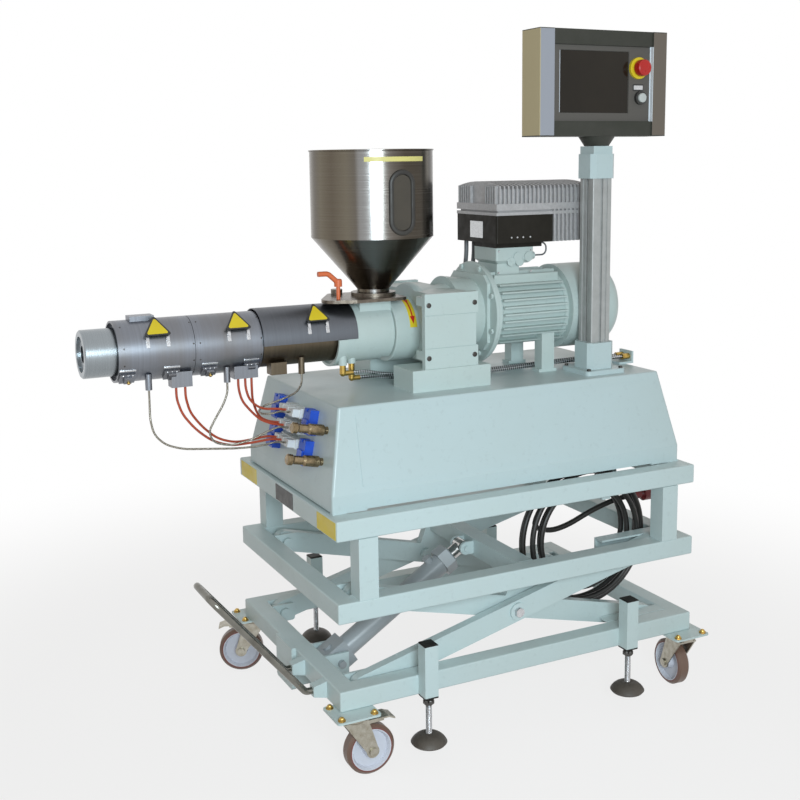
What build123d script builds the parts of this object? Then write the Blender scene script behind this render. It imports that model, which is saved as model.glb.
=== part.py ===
from build123d import *
from math import atan2, cos, degrees, hypot, radians, sin, tan
import os

os.makedirs("parts", exist_ok=True)

# Every x is measured from the middle of the trolley frame, every z from the ground, in millimetres.

# Trolley frame
frame_length = 1050
frame_width = 680
tube = 50
tube_edge = 4
base_bottom = 165
mid_gap = 167
top_gap = 150
post_inset = 55

# Castors
castor_inset = 29
castor_plate_x = 112
castor_plate_y = 98
castor_plate_t = 5
castor_plate_r = 8
wheel_d = 125
wheel_w = 34
tread_t = 9
web_t = 12
hub_d = 34
hub_proud = 4
hub_cone = 3
rim_slope = 9
rim_flat = 4
tread_round = 6
castor_trail = 42
fork_gap = 5
fork_t = 4
fork_foot_d = 32
fork_top = 62
axle_d = 12
axle_proud = 5
swivel_d = 76
swivel_h = 14
swivel_gap = 0.4
castor_turn = {"near_left": 0, "far_left": 158, "near_right": 86, "far_right": -84}
pedal_x = 18
pedal_drop = 32
pedal_w = 41
pedal_t = 4
pedal_reach = 104
pedal_ear = 6
pedal_pin_d = 8
pedal_toe_under = 16
pedal_toe = 18
pedal_side_back = 30
saddle_x1 = 8

# Levelling legs
leg_x = 300
leg_side = 36
leg_wall = 3
leg_up = 83
leg_down = 3
leg_cap_t = 4
nut_d = 26
nut_h = 12
spindle_d = 14
spindle_clear = 0.3
foot_d = 90
foot_under = 43
foot_h = 26
foot_neck_d = 32

# Scissor lift
pivot_inset = 85
arm_h = 56
arm_t = 25
arm_gap = 10
arm_rail_gap = 5
pin_d = 20
pin_clear = 0.3
pin_head_d = 30
pin_head_t = 9
bracket_t = 8
bracket_gap = 8
bracket_reach = 30
roller_d = 38
roller_w = 24
roller_gap = 2
roller_stub = 4
channel_t = 5
channel_l = 190
channel_gap = 2
washer_d = 46
washer_t = 6
nut_across = 32
nut_t = 12
nut_gap = 1
gusset_back = 60
gusset_front = 70
gusset_rise = 30

# Lift cylinder
cylinder_inset = 130
cylinder_drop = 20
eye_x = -6
eye_drop = 16
cross_tube_x = 42
cylinder_d = 60
rod_d = 36
rod_clear = 0.3
rod_inside = 80
gland_af = 70
gland_l = 36
gland_back = 42
gland_lip = 4
block_l = 84
block_w = 70
block_h = 72
port_d = 24
port_h = 14
eye_pin_d = 16
eye_clear = 4.5
ear_t = 8
ear_d = 36
ear_back = 4
ear_gap = 5
anchor_w = 112
anchor_t = 12
anchor_drop = 61
anchor_rise = 3

# Tow handle
handle_y_near = -245
handle_y_far = -105
handle_d = 17
handle_low = 190
handle_reach = 272
handle_rise = 268
handle_foot = 50
handle_bend = 28
lug_l = 34
lug_w = 26

# Enclosure
enclosure_inset_x = 13
enclosure_inset_y = 53
enclosure_lean_x = 40
enclosure_lean_y = 45
enclosure_gap = 4
enclosure_edge = 6
enclosure_top_edge = 5
skirt_h = 40
enclosure_h = 241
foot_pad_l = 90
foot_pad_w = 16
cover_t = 1.5
cover_side = 170
cover_margin = 82
cover_r = 3
manifold_x = 488
manifold_foot = 42
manifold_t = 6
manifold_w = 56
manifold_h = 34
manifold_up = 19
manifold_ys = (-94, -66)

# Gearbox and motor
axis_up = 139
gear_x0 = -203
gear_x1 = -50
gear_front = -170
gear_y = 173
gear_plate_t = 16
gear_top_up = 105
gear_core_drop = 4
gear_groove = 2
gear_groove_low = 52
gear_groove_high = 135
gear_lug_l = 33
gear_lug_w = 32
gear_lug_h = 22
gear_lug_in = 9
hump_r = 119
saddle_r = 104
gear_foot_x0 = -241
gear_foot_x1 = -17
gear_foot_y0 = 70
gear_foot_y1 = 179
gear_foot_h = 55
motor_up = 27
flange_d = 274
flange_x = 20
flange_t = 18
adapter_side = 200
adapter_up = 7
adapter_cut = 22
neck_d = 184
motor_x1 = 282
motor_d = 204
motor_core_d = 190
end_shield_l = 26
fin_pitch = 19
fin_t = 4
fin_d = 232
fin_rows = 9
motor_foot_x = 215
motor_foot_l = 40
motor_foot_y0 = 60
motor_foot_y1 = 95
cowl_d = 234
cowl_x1 = 452
cowl_round = 40
cowl_slots = 16
cowl_slot_r0 = 34
cowl_slot_r1 = 66
cowl_slot_w = 7
cowl_slot_depth = 8

# Terminal box and inverter
box_x0 = 73
box_x1 = 190
box_y = 59
box_flare = 9
box_neck_h = 60
box_neck_x0 = 80
box_neck_x1 = 150
box_neck_y = 50
box_flare_h = 34
box_top_up = 173
plug_d = 26
plug_pitch = 34
plug_t = 3
gland_d = 20
gland_out = 18
loop_y = -30
inverter_x0 = 46
inverter_x1 = 332
inverter_y = 105
inverter_gap = 15
inverter_black_h = 73
inverter_black_l = 174
inverter_seat = 26
sink_h = 76
sink_arch = 12
sink_strip = 8
sink_plain = 22
rib_pitch = 13
rib_t = 4.5
rib_deep = 8
side_ribs = (-94, -82, -70, -58, -46, 34, 46, 58, 70, 82, 94)

# Barrel
nose_x = -1014
nose_d = 114
nose_recess_d = 84
nose_recess = 6
nose_bore_d = 40
nose_bore_l = 60
nose_chamfer = 3
cover_d = 146
cover_x0 = -941
cover_recess = 9
cover_gap = 1.2
cover_split = -760
cover_x1 = -592
core_gap = 10
shield_d = 158
shield_skin = 2
shield_x1 = -342
shield_low = 6
band_d = 136
band_gap = 4
cover_rim = 5
latch_l = 36
latch_w = 30
latch_t = 7
latch_turn = 48
front_latches = (-920, -816)
middle_latches = (-724, -620)
lead_y = -46
lead_box_t = 32
front_lead_box = (-818, -768, 928)
middle_lead_box = (-664, -604, 934)
rear_lead_box = (-570, -529, 935)
sensor_x = (-870, -679, -486)
sensor_y = -50
socket_d = 16
socket_z0 = 927
sensor_socket_z1 = 965
rear_socket_z0 = 930
rear_socket_z1 = 972
sensor_box_x = -900
sensor_box_l = 58
sensor_box_w = 40
sensor_box_h = 9

# Feed housing
feed_x0 = -396
feed_x1 = -240
feed_d = 152
feed_flange_d = 166
feed_flange_l = 24
feed_counterbore = 8
feed_counter_l = 8
seam_d = 144
collar_d = 168
collar_x0 = -237
pad_x0 = -324
pad_y = 50
pad_up = 8
drain_l = 20
drain_w = 80
drain_h = 14

# Hopper
hopper_x = -262
hopper_d = 344
hopper_wall = 2
hopper_rim = 5
hopper_drum_h = 215
hopper_cone_h = 134
hopper_neck_up = 109
hopper_neck_d = 84
hopper_neck_l = 8
glass_l = 128
glass_w = 44
glass_rim = 7
glass_t = 2
glass_z = 1372
glass_turn = -56
lid_over = 3
lid_t = 5
lid_plug = 12
lid_gap = 0.3

# Slide gate and clamp lever
gate_y = 88
gate_t = 8
gate_x0 = -345
gate_x1 = -205
gate_corner = 14
gate_nose_x = -385
gate_nose_y = -34
gate_nose_r = 34
gate_flange_d = 116
knob_d = 30
knob_h = 14
knob_x = -340
knob_y = 58
lever_x = -380
lever_y = -45
stem_d = 10
stem_gap = 0.3
stem_h = 32
lever_d = 13
lever_hub_d = 20
lever_hub_h = 19
lever_reach = 54
lever_rise = 24

# Control post and panel
post_x = 326
post_y = -150
post_side = 60
post_groove_w = 34
post_groove = 3
post_plate = 126
post_plate_t = 12
post_plate_r = 12
clamp_side = 84
clamp_cut = 14
clamp_h = 71
post_h = 436
collar_side = 76
collar_cut = 12
collar_h = 64
neck_side = 60
neck_h = 20
swivel_wide_d = 96
swivel_neck_d = 64
swivel_flange_h = 25
swivel_lift = 0.4
panel_w = 398
panel_h = 268
panel_depth = 88
panel_off = -11
panel_band = 38
panel_strip = 44
panel_strip_t = 3
panel_recess = 8
screen_x0 = 68
screen_w = 216
screen_z0 = 59
screen_h = 158
screen_deep = 3
stop_in = 86
stop_up = 175
stop_ring_d = 55
stop_ring_t = 8
stop_head_d = 42
stop_head_t = 20
stop_stem_d = 22
stop_travel = 4
push_in = 78
push_up = 99
push_d = 24
push_bezel_d = 34
push_bezel_t = 10
push_proud = 6
button_clear = 1
button_depth = 8

# Connectors on the sloped end
socket_w = 38
socket_h = 62
socket_t = 23
socket_step = 8
socket_raise = 5
socket_columns = (-120, 90)
socket_rows = (820, 745)
plug_w = 31
plug_h = 25
plug_l = 48
plug_columns = (-76, -42, -8)
plug_rows = (832, 794, 757)
sensor_plug_d = 27
sensor_plug_neck = 4
sensor_plug_waist = 3
sensor_plug_l = 92
sensor_plug_y = -200
sensor_plug_rows = (815, 740)

# Leads and hoses, each route as points from its fixed end
red_d = 6
sensor_d = 5
lead_straight = 26
lead_least = 4.5
hose_d = 9
conduit_d = 12
conduit_pitch = 24
fitting_d = 16
fitting_l = 24
fitting_top = 942
hose_straight = 34
hose_least = 5
loop_d = 4.5
loop_least = 3
hose_starts = ((-377, -56, 921, 27), (-344, -36, 903, 22))
hose_routes = (
    [(-316, -56, 921), (-256, -54, 908), (-156, -50, 892), (-40, -47, 886), (80, -46, 885), (200, -48, 888),
     (310, -58, 893), (390, -82, 896)],
    [(-290, -36, 903), (-230, -32, 893), (-130, -26, 886), (-10, -22, 884), (110, -22, 886), (220, -26, 889),
     (320, -38, 893), (392, -58, 896)])
conduit_route = [(70, 95, 1231), (70, 95, 1196), (73, 112, 1130), (76, 130, 1062), (76, 136, 1000),
                 (76, 132, 930),
                 (76, 132, 877)]
sensor_routes = (
    ([(-870, -50, 927), (-870, -50, 893), (-872, -55, 857), (-865, -59, 820), (-840, -63, 794), (-800, -69, 780),
      (-736, -74, 774), (-668, -77, 767), (-612, -77, 766)], 0, 2),
    ([(-679, -50, 927), (-679, -50, 902), (-692, -54, 874), (-715, -58, 842), (-733, -60, 812), (-722, -60, 785),
      (-684, -63, 773), (-638, -70, 780), (-598, -74, 796)], 0, 1),
    ([(-486, -50, 930), (-486, -50, 905), (-496, -40, 882), (-520, -26, 868), (-549, -18, 858), (-577, -12, 850),
      (-596, -31, 844), (-598, -58, 841), (-581, -76, 843)], 0, 0))
heater_routes = (
    ([(-804, -46, 928), (-804, -46, 898), (-792, -46, 860), (-762, -46, 820), (-722, -46, 786), (-676, -45, 768),
      (-622, -43, 768)], 1, 2),
    ([(-782, -46, 928), (-782, -46, 900), (-770, -36, 860), (-738, -24, 818), (-698, -16, 782), (-652, -12, 766),
      (-606, -9, 768)], 2, 2),
    ([(-650, -46, 934), (-650, -46, 908), (-642, -45, 876), (-618, -43, 846), (-594, -42, 822)], 1, 1),
    ([(-632, -46, 934), (-632, -46, 908), (-624, -45, 880), (-606, -43, 860), (-584, -42, 849)], 1, 0),
    ([(-616, -46, 934), (-616, -46, 908), (-612, -36, 876), (-600, -22, 846), (-586, -12, 822)], 2, 1))

# Power cable
coil_x = 272
coil_y = -184
coil_z = 432
coil_r = 166
coil_tube_r = 31
cable_d = 15
tail_route = [(126, -160, 474), (160, -146, 452), (206, -140, 440), (262, -139, 450), (316, -140, 472),
              (372, -142, 490), (432, -145, 504), (478, -145, 504)]
hook_t = 8
hook_w = 26
plug_body_d = 40
plug_sleeve = 3
plug_lip = 4
plug_body_l = 62

# Places worked out from the sizes above
half_length = frame_length / 2
half_width = frame_width / 2
castor_x = half_length - castor_inset
castor_y = half_width
mid_bottom = base_bottom + tube + mid_gap
top_bottom = mid_bottom + tube + top_gap
rail_z = base_bottom + tube / 2
mid_z = mid_bottom + tube / 2
inner_y = half_width - tube
inner_x = half_length - tube
pivot_x = half_length - pivot_inset
arm_rise = mid_z - rail_z
arm_length = hypot(2 * pivot_x, arm_rise)
arm_angle = degrees(atan2(arm_rise, 2 * pivot_x))
outer_y1 = inner_y - arm_rail_gap
outer_y0 = outer_y1 - arm_t
inner_arm_y1 = outer_y0 - arm_gap
inner_arm_y0 = inner_arm_y1 - arm_t
centre_z = rail_z + arm_rise / 2
cylinder_x = -half_length + cylinder_inset
cylinder_z = base_bottom - cylinder_drop
eye_z = mid_z - eye_drop
cylinder_length = hypot(eye_z - cylinder_z, eye_x - cylinder_x)
gland_end = cylinder_length - gland_back
skirt_bottom = top_bottom + tube + enclosure_gap
enclosure_top = skirt_bottom + enclosure_h
enclosure_x = half_length - enclosure_inset_x
enclosure_y = half_width - enclosure_inset_y
enclosure_top_x = enclosure_x - enclosure_lean_x
enclosure_top_y = enclosure_y - enclosure_lean_y
axis_z = enclosure_top + axis_up
gear_top = axis_z + gear_top_up
motor_z = axis_z + motor_up
box_top = motor_z + box_top_up
inverter_bottom = box_top + inverter_gap
inverter_split = inverter_bottom + inverter_black_h
inverter_top = inverter_split + sink_h + sink_arch
pad_z = axis_z + feed_d / 2 + pad_up
neck_z = axis_z + hopper_neck_up
hopper_seam = neck_z + hopper_cone_h
hopper_top = hopper_seam + hopper_drum_h
post_foot = enclosure_top + post_plate_t
clamp_top = post_foot + clamp_h
post_top = clamp_top + post_h
collar_top = post_top + collar_h
neck_top = collar_top + neck_h
panel_bottom = neck_top + swivel_flange_h
panel_x0 = post_x - panel_w / 2 + panel_off
panel_y0 = post_y - panel_depth / 2
stop_x = panel_x0 + panel_w - stop_in
stop_z = panel_bottom + stop_up
push_x = panel_x0 + panel_w - push_in
push_z = panel_bottom + push_up
panel_face = panel_y0 + panel_recess
pedal_z = base_bottom - pedal_drop
manifold_z = enclosure_top + manifold_up
to_part = Pos(-(nose_x + castor_x + castor_plate_x / 2) / 2, 0, 0)


def block(x0, x1, y0, y1, z0, z1):
    return Pos((x0 + x1) / 2, (y0 + y1) / 2, (z0 + z1) / 2) * Box(x1 - x0, y1 - y0, z1 - z0)


def rod_x(d, x0, x1, y=0, z=0):
    return Pos((x0 + x1) / 2, y, z) * Rot(0, 90, 0) * Cylinder(d / 2, x1 - x0)


def rod_y(d, y0, y1, x=0, z=0):
    return Pos(x, (y0 + y1) / 2, z) * Rot(90, 0, 0) * Cylinder(d / 2, y1 - y0)


def rod_z(d, z0, z1, x=0, y=0):
    return Pos(x, y, (z0 + z1) / 2) * Cylinder(d / 2, z1 - z0)


def plate_xz(points, y0, y1):
    face = make_face(Polyline(*points, close=True))
    return Pos(0, y1, 0) * Rot(90, 0, 0) * extrude(face, y1 - y0)


def slot_y(length, height, y0, y1):
    return Pos(0, y1, 0) * Rot(90, 0, 0) * extrude(SlotCenterToCenter(length, height), y1 - y0)


def upright(outline, x, y, z0, z1):
    return Pos(x, y, z0) * extrude(outline, z1 - z0)


def both(shape):
    return [shape, mirror(shape, about=Plane.XZ)]


def save(name, *shapes):
    solids = []
    for shape in shapes:
        solids += (to_part * shape).solids()
    body = solids[0] if len(solids) == 1 else Compound(children=solids)
    body.label = name
    export_step(body, f"parts/{name}.step")
    print(name, len(solids), round(sum(s.volume for s in solids) / 1000), "cm3")


# Cords: straight runs joined by tangent arcs
def cord(name, diameter, points, least):
    line = [Vector(*p) for p in points]
    radii = []
    for before, here, after in zip(line, line[1:], line[2:]):
        into, away = here - before, after - here
        half_turn = radians(into.get_angle(away)) / 2
        radii.append(0.45 * min(into.length, away.length) / tan(half_turn))
    path = FilletPolyline(*line, radius=radii)
    print(name, "length", round(path.length), "radii", round(min(radii)), "to", round(max(radii)))
    assert min(radii) >= least * diameter, name
    return sweep(Plane(path @ 0, z_dir=path % 0) * Circle(diameter / 2), path=path)


# Frames of square tube
def ring(z0):
    outer = Pos(0, 0, z0) * extrude(RectangleRounded(frame_length, frame_width, tube_edge), tube)
    inner = Pos(0, 0, z0) * extrude(Rectangle(2 * inner_x, 2 * inner_y), tube)
    frame = outer - inner
    rims = frame.faces().filter_by(Axis.Z).edges().filter_by(lambda e: e.length > 4 * tube)
    return fillet(rims, tube_edge)


def arm_bracket(y0, z0):
    plate = block(-inner_x, -pivot_x + bracket_reach, y0, y0 + bracket_t, z0, z0 + tube)
    plate = fillet(plate.edges().filter_by(Axis.Y).group_by(Axis.X)[-1], bracket_t)
    hole = rod_y(pin_d + 2 * pin_clear, y0 - 1, y0 + bracket_t + 1, -pivot_x, z0 + tube / 2)
    return plate - hole


def channel(y_web, y_open, z0):
    side = 1 if y_open > y_web else -1
    x0 = inner_x - channel_l
    web = block(x0, inner_x, *sorted((y_web, y_web + side * channel_t)), z0, z0 + tube)
    low = block(x0, inner_x, *sorted((y_web, y_open)), z0, z0 + channel_t)
    high = block(x0, inner_x, *sorted((y_web, y_open)), z0 + tube - channel_t, z0 + tube)
    return web + low + high


def base_frame():
    frame = ring(base_bottom)
    plate = RectangleRounded(castor_plate_x, castor_plate_y, castor_plate_r)
    for sx in (-1, 1):
        for sy in (-1, 1):
            frame += upright(plate, sx * castor_x, sy * castor_y, base_bottom - castor_plate_t, base_bottom)
    y_bracket = outer_y0 - bracket_gap - bracket_t
    for piece in both(arm_bracket(y_bracket, base_bottom)):
        frame += piece
    for piece in both(channel(inner_y, inner_arm_y1 + channel_gap, base_bottom)):
        frame += piece
    for y in (handle_y_near, handle_y_far):
        low, high = base_bottom + tube_edge, base_bottom + tube - tube_edge
        outline = [(-half_length, low), (-half_length, high), (-half_length - lug_l, handle_low + lug_w / 2),
                   (-half_length - lug_l, handle_low - lug_w / 2)]
        frame += plate_xz(outline, y - lug_w / 2, y + lug_w / 2)
    return frame


def upper_frame():
    frame = ring(mid_bottom) + ring(top_bottom)
    post = half_length - post_inset - tube
    for sx in (-1, 1):
        for sy in (-1, 1):
            x0, x1 = sorted((sx * post, sx * (post + tube)))
            y0, y1 = sorted((sy * inner_y, sy * (inner_y + tube)))
            frame += block(x0, x1, y0, y1, mid_bottom + tube, top_bottom)
    y_bracket = inner_arm_y0 - bracket_gap - bracket_t
    for piece in both(arm_bracket(y_bracket, mid_bottom)):
        frame += piece
    y_web = outer_y0 - roller_w - 2 * channel_gap - 2 * channel_t
    for piece in both(channel(y_web, outer_y0 - channel_gap, mid_bottom)):
        frame += piece
    return frame


# Legs
def leg_parts():
    tubes, caps = [], []
    y = half_width + leg_side / 2
    z0, z1 = base_bottom + leg_down, base_bottom + tube + leg_up
    bore = leg_side - 2 * leg_wall
    low_z = z0 - leg_cap_t
    for sx in (-1, 1):
        wall = upright(Rectangle(leg_side, leg_side) - Rectangle(bore, bore), 0, 0, z0, z1)
        top = upright(Rectangle(leg_side, leg_side), 0, 0, z1, z1 + leg_cap_t)
        top = chamfer(top.faces().sort_by(Axis.Z)[-1].edges(), leg_cap_t / 2)
        low = upright(Rectangle(leg_side, leg_side), 0, 0, low_z, z0)
        low += upright(RegularPolygon(nut_d / 2, 6), 0, 0, low_z - nut_h, low_z)
        low -= rod_z(spindle_d + 2 * spindle_clear, low_z - nut_h - 1, z0 + 1)
        for sy in (-1, 1):
            place = Pos(sx * leg_x, sy * y, 0)
            tubes.append(place * wall)
            caps += [place * top, place * low]
    return tubes, caps


def levelling_foot(sx, sy):
    y = half_width + leg_side / 2
    r, z0, z1 = foot_d / 2, foot_under, foot_under + foot_h
    profile = Polyline((0, z0), (r - 4, z0), (r, z0 + 5))
    dome = ThreePointArc((r, z0 + 5), (r * 0.72, z0 + 0.75 * foot_h), (foot_neck_d / 2, z1))
    close = Polyline((foot_neck_d / 2, z1), (0, z1), (0, z0))
    pad = revolve(Plane.XZ * make_face(profile + dome + close), Axis.Z)
    spindle = rod_z(spindle_d, z1 - 1, base_bottom + tube + leg_up / 2)
    return Pos(sx * leg_x, sy * y, 0) * (pad + spindle)


# Castors, drawn trailing along +X and then turned
def castor_fork():
    plate_under = base_bottom - castor_plate_t
    crown = plate_under - swivel_h
    head = rod_z(swivel_d, crown, plate_under - swivel_gap)
    head = chamfer(head.edges().group_by(Axis.Z)[0], swivel_gap * 10)
    half = wheel_w / 2 + fork_gap
    axle_z = wheel_d / 2
    outline = Sketch() + make_face(Polyline((-fork_top / 2, crown), (fork_top / 2, crown),
                                            (castor_trail + fork_foot_d / 2, axle_z),
                                            (castor_trail - fork_foot_d / 2, axle_z), close=True))
    outline += Pos(castor_trail, axle_z) * Circle(fork_foot_d / 2)
    cheek = Pos(0, half + fork_t, 0) * Rot(90, 0, 0) * extrude(outline, fork_t)
    fork = head
    for piece in both(cheek):
        fork += piece
    fork += block(-fork_top / 2, saddle_x1, -half - fork_t, half + fork_t, crown - fork_t, crown)
    fork += rod_y(axle_d, -half - fork_t - axle_proud, half + fork_t + axle_proud, castor_trail, axle_z)
    for y0 in (-half - fork_t - axle_proud, half + fork_t):
        fork += rod_y(axle_d + 8, y0, y0 + axle_proud, castor_trail, axle_z)
    return fork


def castor_wheel():
    r, half = wheel_d / 2, wheel_w / 2
    rim = r - tread_t
    outline = [(0, half + hub_proud), (hub_d / 2, half + hub_proud), (hub_d / 2 + hub_cone, web_t / 2),
               (rim - rim_slope, web_t / 2), (rim - rim_flat, half), (r - tread_round, half),
               (r, half - tread_round), (r, 0), (0, 0)]
    side = revolve(make_face(Polyline(*outline, close=True)), Axis.Y)
    wheel = side + mirror(side, about=Plane.XZ) - rod_y(axle_d + 2 * pin_clear, -wheel_w, wheel_w)
    return Pos(castor_trail, 0, wheel_d / 2) * wheel


def castor_place(name):
    sx = -1 if "left" in name else 1
    sy = -1 if "near" in name else 1
    return Pos(sx * castor_x, sy * castor_y, 0) * Rot(0, 0, castor_turn[name])


def pedal_hole():
    reach = wheel_w / 2 + fork_gap + fork_t + 1
    return rod_y(pedal_pin_d + 2 * pin_clear, -reach, reach, pedal_x, pedal_z)


def brake_pedal():
    half, x, z, ear = pedal_w / 2, pedal_x, pedal_z, pedal_ear
    toe = pedal_reach - pedal_toe
    tread = [(x + ear, z + pedal_t), (pedal_reach - pedal_toe_under, z + pedal_t), (pedal_reach, z - ear / 2),
             (pedal_reach, z + pedal_t - ear / 2), (toe, z + 2 * pedal_t), (x + ear, z + 2 * pedal_t)]
    pedal = plate_xz(tread, -half, half)
    far = pedal_reach - pedal_side_back
    side = [(x - ear, z - ear), (x + ear, z - ear), (x + 2 * ear, z - 1), (far, z), (far, z + pedal_t),
            (x + ear, z + 2 * pedal_t - 1), (x - ear, z + ear)]
    for y0 in (-half, half - pedal_t):
        pedal += plate_xz(side, y0, y0 + pedal_t)
    pin = wheel_w / 2 + fork_gap + fork_t
    return pedal + rod_y(pedal_pin_d, -pin, pin, x, z)


# Scissor arms, drawn flat along X about their middle and then turned
def at_centre(shape, angle):
    return Pos(0, 0, centre_z) * Rot(0, -angle, 0) * shape


def arm_pin(y_arm, y_in, half):
    pin = rod_y(pin_d, -y_arm, -y_in, -half, 0)
    return pin + rod_y(pin_head_d, -y_in - pin_head_t / 2, -y_in + pin_head_t / 2, -half, 0)


def outer_arm():
    half = arm_length / 2
    y_pin_in = outer_y0 - bracket_gap - bracket_t - washer_t
    bar = slot_y(arm_length, arm_h, -outer_y1, -outer_y0) + arm_pin(outer_y1, y_pin_in, half)
    y_roller = outer_y0 - roller_gap - roller_w
    bar += rod_y(pin_d, -outer_y0, -y_roller, half, 0)
    bar += rod_y(roller_d, -outer_y0 + roller_stub, -y_roller + roller_gap, half, 0)
    bar += rod_y(pin_d, -outer_y1 - washer_t, -inner_arm_y0 + nut_t / 2, 0, 0)
    bar += rod_y(washer_d, -outer_y1 - washer_t, -outer_y1, 0, 0)
    bar += rod_y(nut_across, -inner_arm_y0 + nut_gap, -inner_arm_y0 + nut_gap + nut_t, 0, 0)
    return at_centre(bar, arm_angle)


def inner_arm_frame():
    half = arm_length / 2
    y_pin_in = inner_arm_y0 - bracket_gap - bracket_t - washer_t
    bar = slot_y(arm_length, arm_h, -inner_arm_y1, -inner_arm_y0) + arm_pin(inner_arm_y1, y_pin_in, half)
    bar += rod_y(pin_d, -inner_arm_y1 - roller_stub, -inner_arm_y1, half, 0)
    bar += rod_y(roller_d, -inner_arm_y1 - roller_stub - roller_w, -inner_arm_y1 - roller_gap, half, 0)
    bar -= rod_y(pin_d + 2 * pin_clear, -inner_arm_y1 - 1, -inner_arm_y0 + 1, 0, 0)
    near = at_centre(bar, -arm_angle)
    low_z = centre_z - tan(radians(arm_angle)) * cross_tube_x
    gusset = [(cross_tube_x - gusset_back, low_z + gusset_rise), (cross_tube_x + gusset_front, low_z - 5),
              (cross_tube_x + tube / 2, eye_z + tube / 2), (cross_tube_x - tube / 2, eye_z + tube / 2)]
    near += plate_xz(gusset, -inner_arm_y1, -inner_arm_y0)
    frame = near + mirror(near, about=Plane.XZ)
    frame += block(cross_tube_x - tube / 2, cross_tube_x + tube / 2, -inner_arm_y0, inner_arm_y0,
                   eye_z - tube / 2, eye_z + tube / 2)
    ear_y = rod_d / 2 + ear_gap
    for y0 in (-ear_y - ear_t, ear_y):
        frame += block(eye_x - ear_back, cross_tube_x - tube / 2, y0, y0 + ear_t,
                       eye_z - ear_d / 2, eye_z + ear_d / 2)
        frame += rod_y(ear_d, y0, y0 + ear_t, eye_x, eye_z)
    return frame + rod_y(eye_pin_d, -ear_y - ear_t - washer_t, ear_y + ear_t + washer_t, eye_x, eye_z)


# Lift cylinder, drawn along +X from its lower pivot and then tilted
def along_cylinder(shape):
    tilt = degrees(atan2(eye_z - cylinder_z, eye_x - cylinder_x))
    return Pos(cylinder_x, 0, cylinder_z) * Rot(0, -tilt, 0) * shape


def lift_cylinder():
    foot = block(-block_l / 2, block_l / 2, -block_w / 2, block_w / 2, -block_h / 2, block_h / 2)
    foot = chamfer(foot.edges().filter_by(Axis.X), block_l / 20)
    barrel = rod_x(cylinder_d, block_l / 2, gland_end - gland_l)
    gland = extrude(Plane.YZ * RegularPolygon(gland_af / 2, 6, False), gland_l)
    gland = chamfer(gland.edges().group_by(Axis.X)[-1], gland_lip)
    gland = Pos(gland_end - gland_l, 0, 0) * gland
    port_x = gland_end - gland_l - port_d
    port = rod_z(port_d, 0, cylinder_d / 2 + port_h, port_x) + rod_z(port_d, 0, block_h / 2 + port_h / 2)
    pin = rod_y(pin_d, -anchor_w / 2 - 4, anchor_w / 2 + 4)
    bore = rod_x(rod_d + 2 * rod_clear, block_l, gland_end + 1)
    return along_cylinder(foot + barrel + gland + port + pin - bore)


def piston_rod():
    rod = rod_x(rod_d, block_l + rod_inside, cylinder_length - rod_d / 4)
    eye = rod_y(rod_d, -rod_d / 2, rod_d / 2, cylinder_length, 0)
    hole = rod_y(eye_pin_d + 2 * eye_clear, -rod_d, rod_d, cylinder_length, 0)
    return along_cylinder(rod + eye - hole)


def cylinder_anchor():
    low = base_bottom - anchor_drop
    high = base_bottom + tube + anchor_rise
    anchor = block(-half_length - anchor_t, -half_length, -anchor_w / 2, anchor_w / 2, low, high)
    anchor = chamfer(anchor.edges().filter_by(Axis.X).group_by(Axis.Z)[0], anchor_t / 2)
    x1 = cylinder_x + pin_d + 2
    y_in = block_w / 2 + ear_gap
    for side in (-y_in - ear_t, y_in):
        anchor += block(-half_length, x1, side, side + ear_t, low + anchor_t / 2, base_bottom)
        anchor += block(-inner_x + 2, x1, side, side + ear_t, base_bottom, base_bottom + ear_t)
    return anchor - rod_y(pin_d + 2 * pin_clear, -anchor_w, anchor_w, cylinder_x, cylinder_z)


# Tow handle: two legs rise from lugs on the end rail and a short grip joins them
def tow_handle():
    x_lug = -half_length - lug_l
    x_turn = -half_length - handle_foot
    x_grip = -half_length - handle_reach
    high = handle_low + handle_rise
    points = [(x_lug, handle_y_near, handle_low), (x_turn, handle_y_near, handle_low),
              (x_grip, handle_y_near, high), (x_grip, handle_y_far, high),
              (x_turn, handle_y_far, handle_low), (x_lug, handle_y_far, handle_low)]
    radii = [lug_l - handle_d, handle_bend, handle_bend, lug_l - handle_d]
    path = FilletPolyline(*points, radius=radii)
    return sweep(Plane(path @ 0, z_dir=path % 0) * Circle(handle_d / 2), path=path)


# Enclosure
def enclosure():
    low = RectangleRounded(2 * enclosure_x, 2 * enclosure_y, enclosure_edge)
    high = RectangleRounded(2 * enclosure_top_x, 2 * enclosure_top_y, enclosure_edge)
    skirt = Pos(0, 0, skirt_bottom) * extrude(low, skirt_h)
    hood = loft(Sketch() + [Pos(0, 0, skirt_bottom + skirt_h) * low, Pos(0, 0, enclosure_top) * high])
    hood = fillet(hood.faces().sort_by(Axis.Z)[-1].edges(), enclosure_top_edge)
    body = skirt + hood
    for sx in (-1, 1):
        for sy in (-1, 1):
            x, y = sx * (enclosure_x - foot_pad_l / 2), sy * (enclosure_y - foot_pad_w / 2)
            body += block(x - foot_pad_l / 2, x + foot_pad_l / 2, y - foot_pad_w / 2, y + foot_pad_w / 2,
                          skirt_bottom - enclosure_gap, skirt_bottom)
    y_mid = sum(manifold_ys) / 2
    y0, y1 = y_mid - manifold_w / 2, y_mid + manifold_w / 2
    x0, x1 = manifold_x - manifold_foot, manifold_x + manifold_t
    body += block(x0, x1, y0, y1, enclosure_top, enclosure_top + manifold_t)
    return body + block(manifold_x, x1, y0, y1, enclosure_top, enclosure_top + manifold_h)


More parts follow.
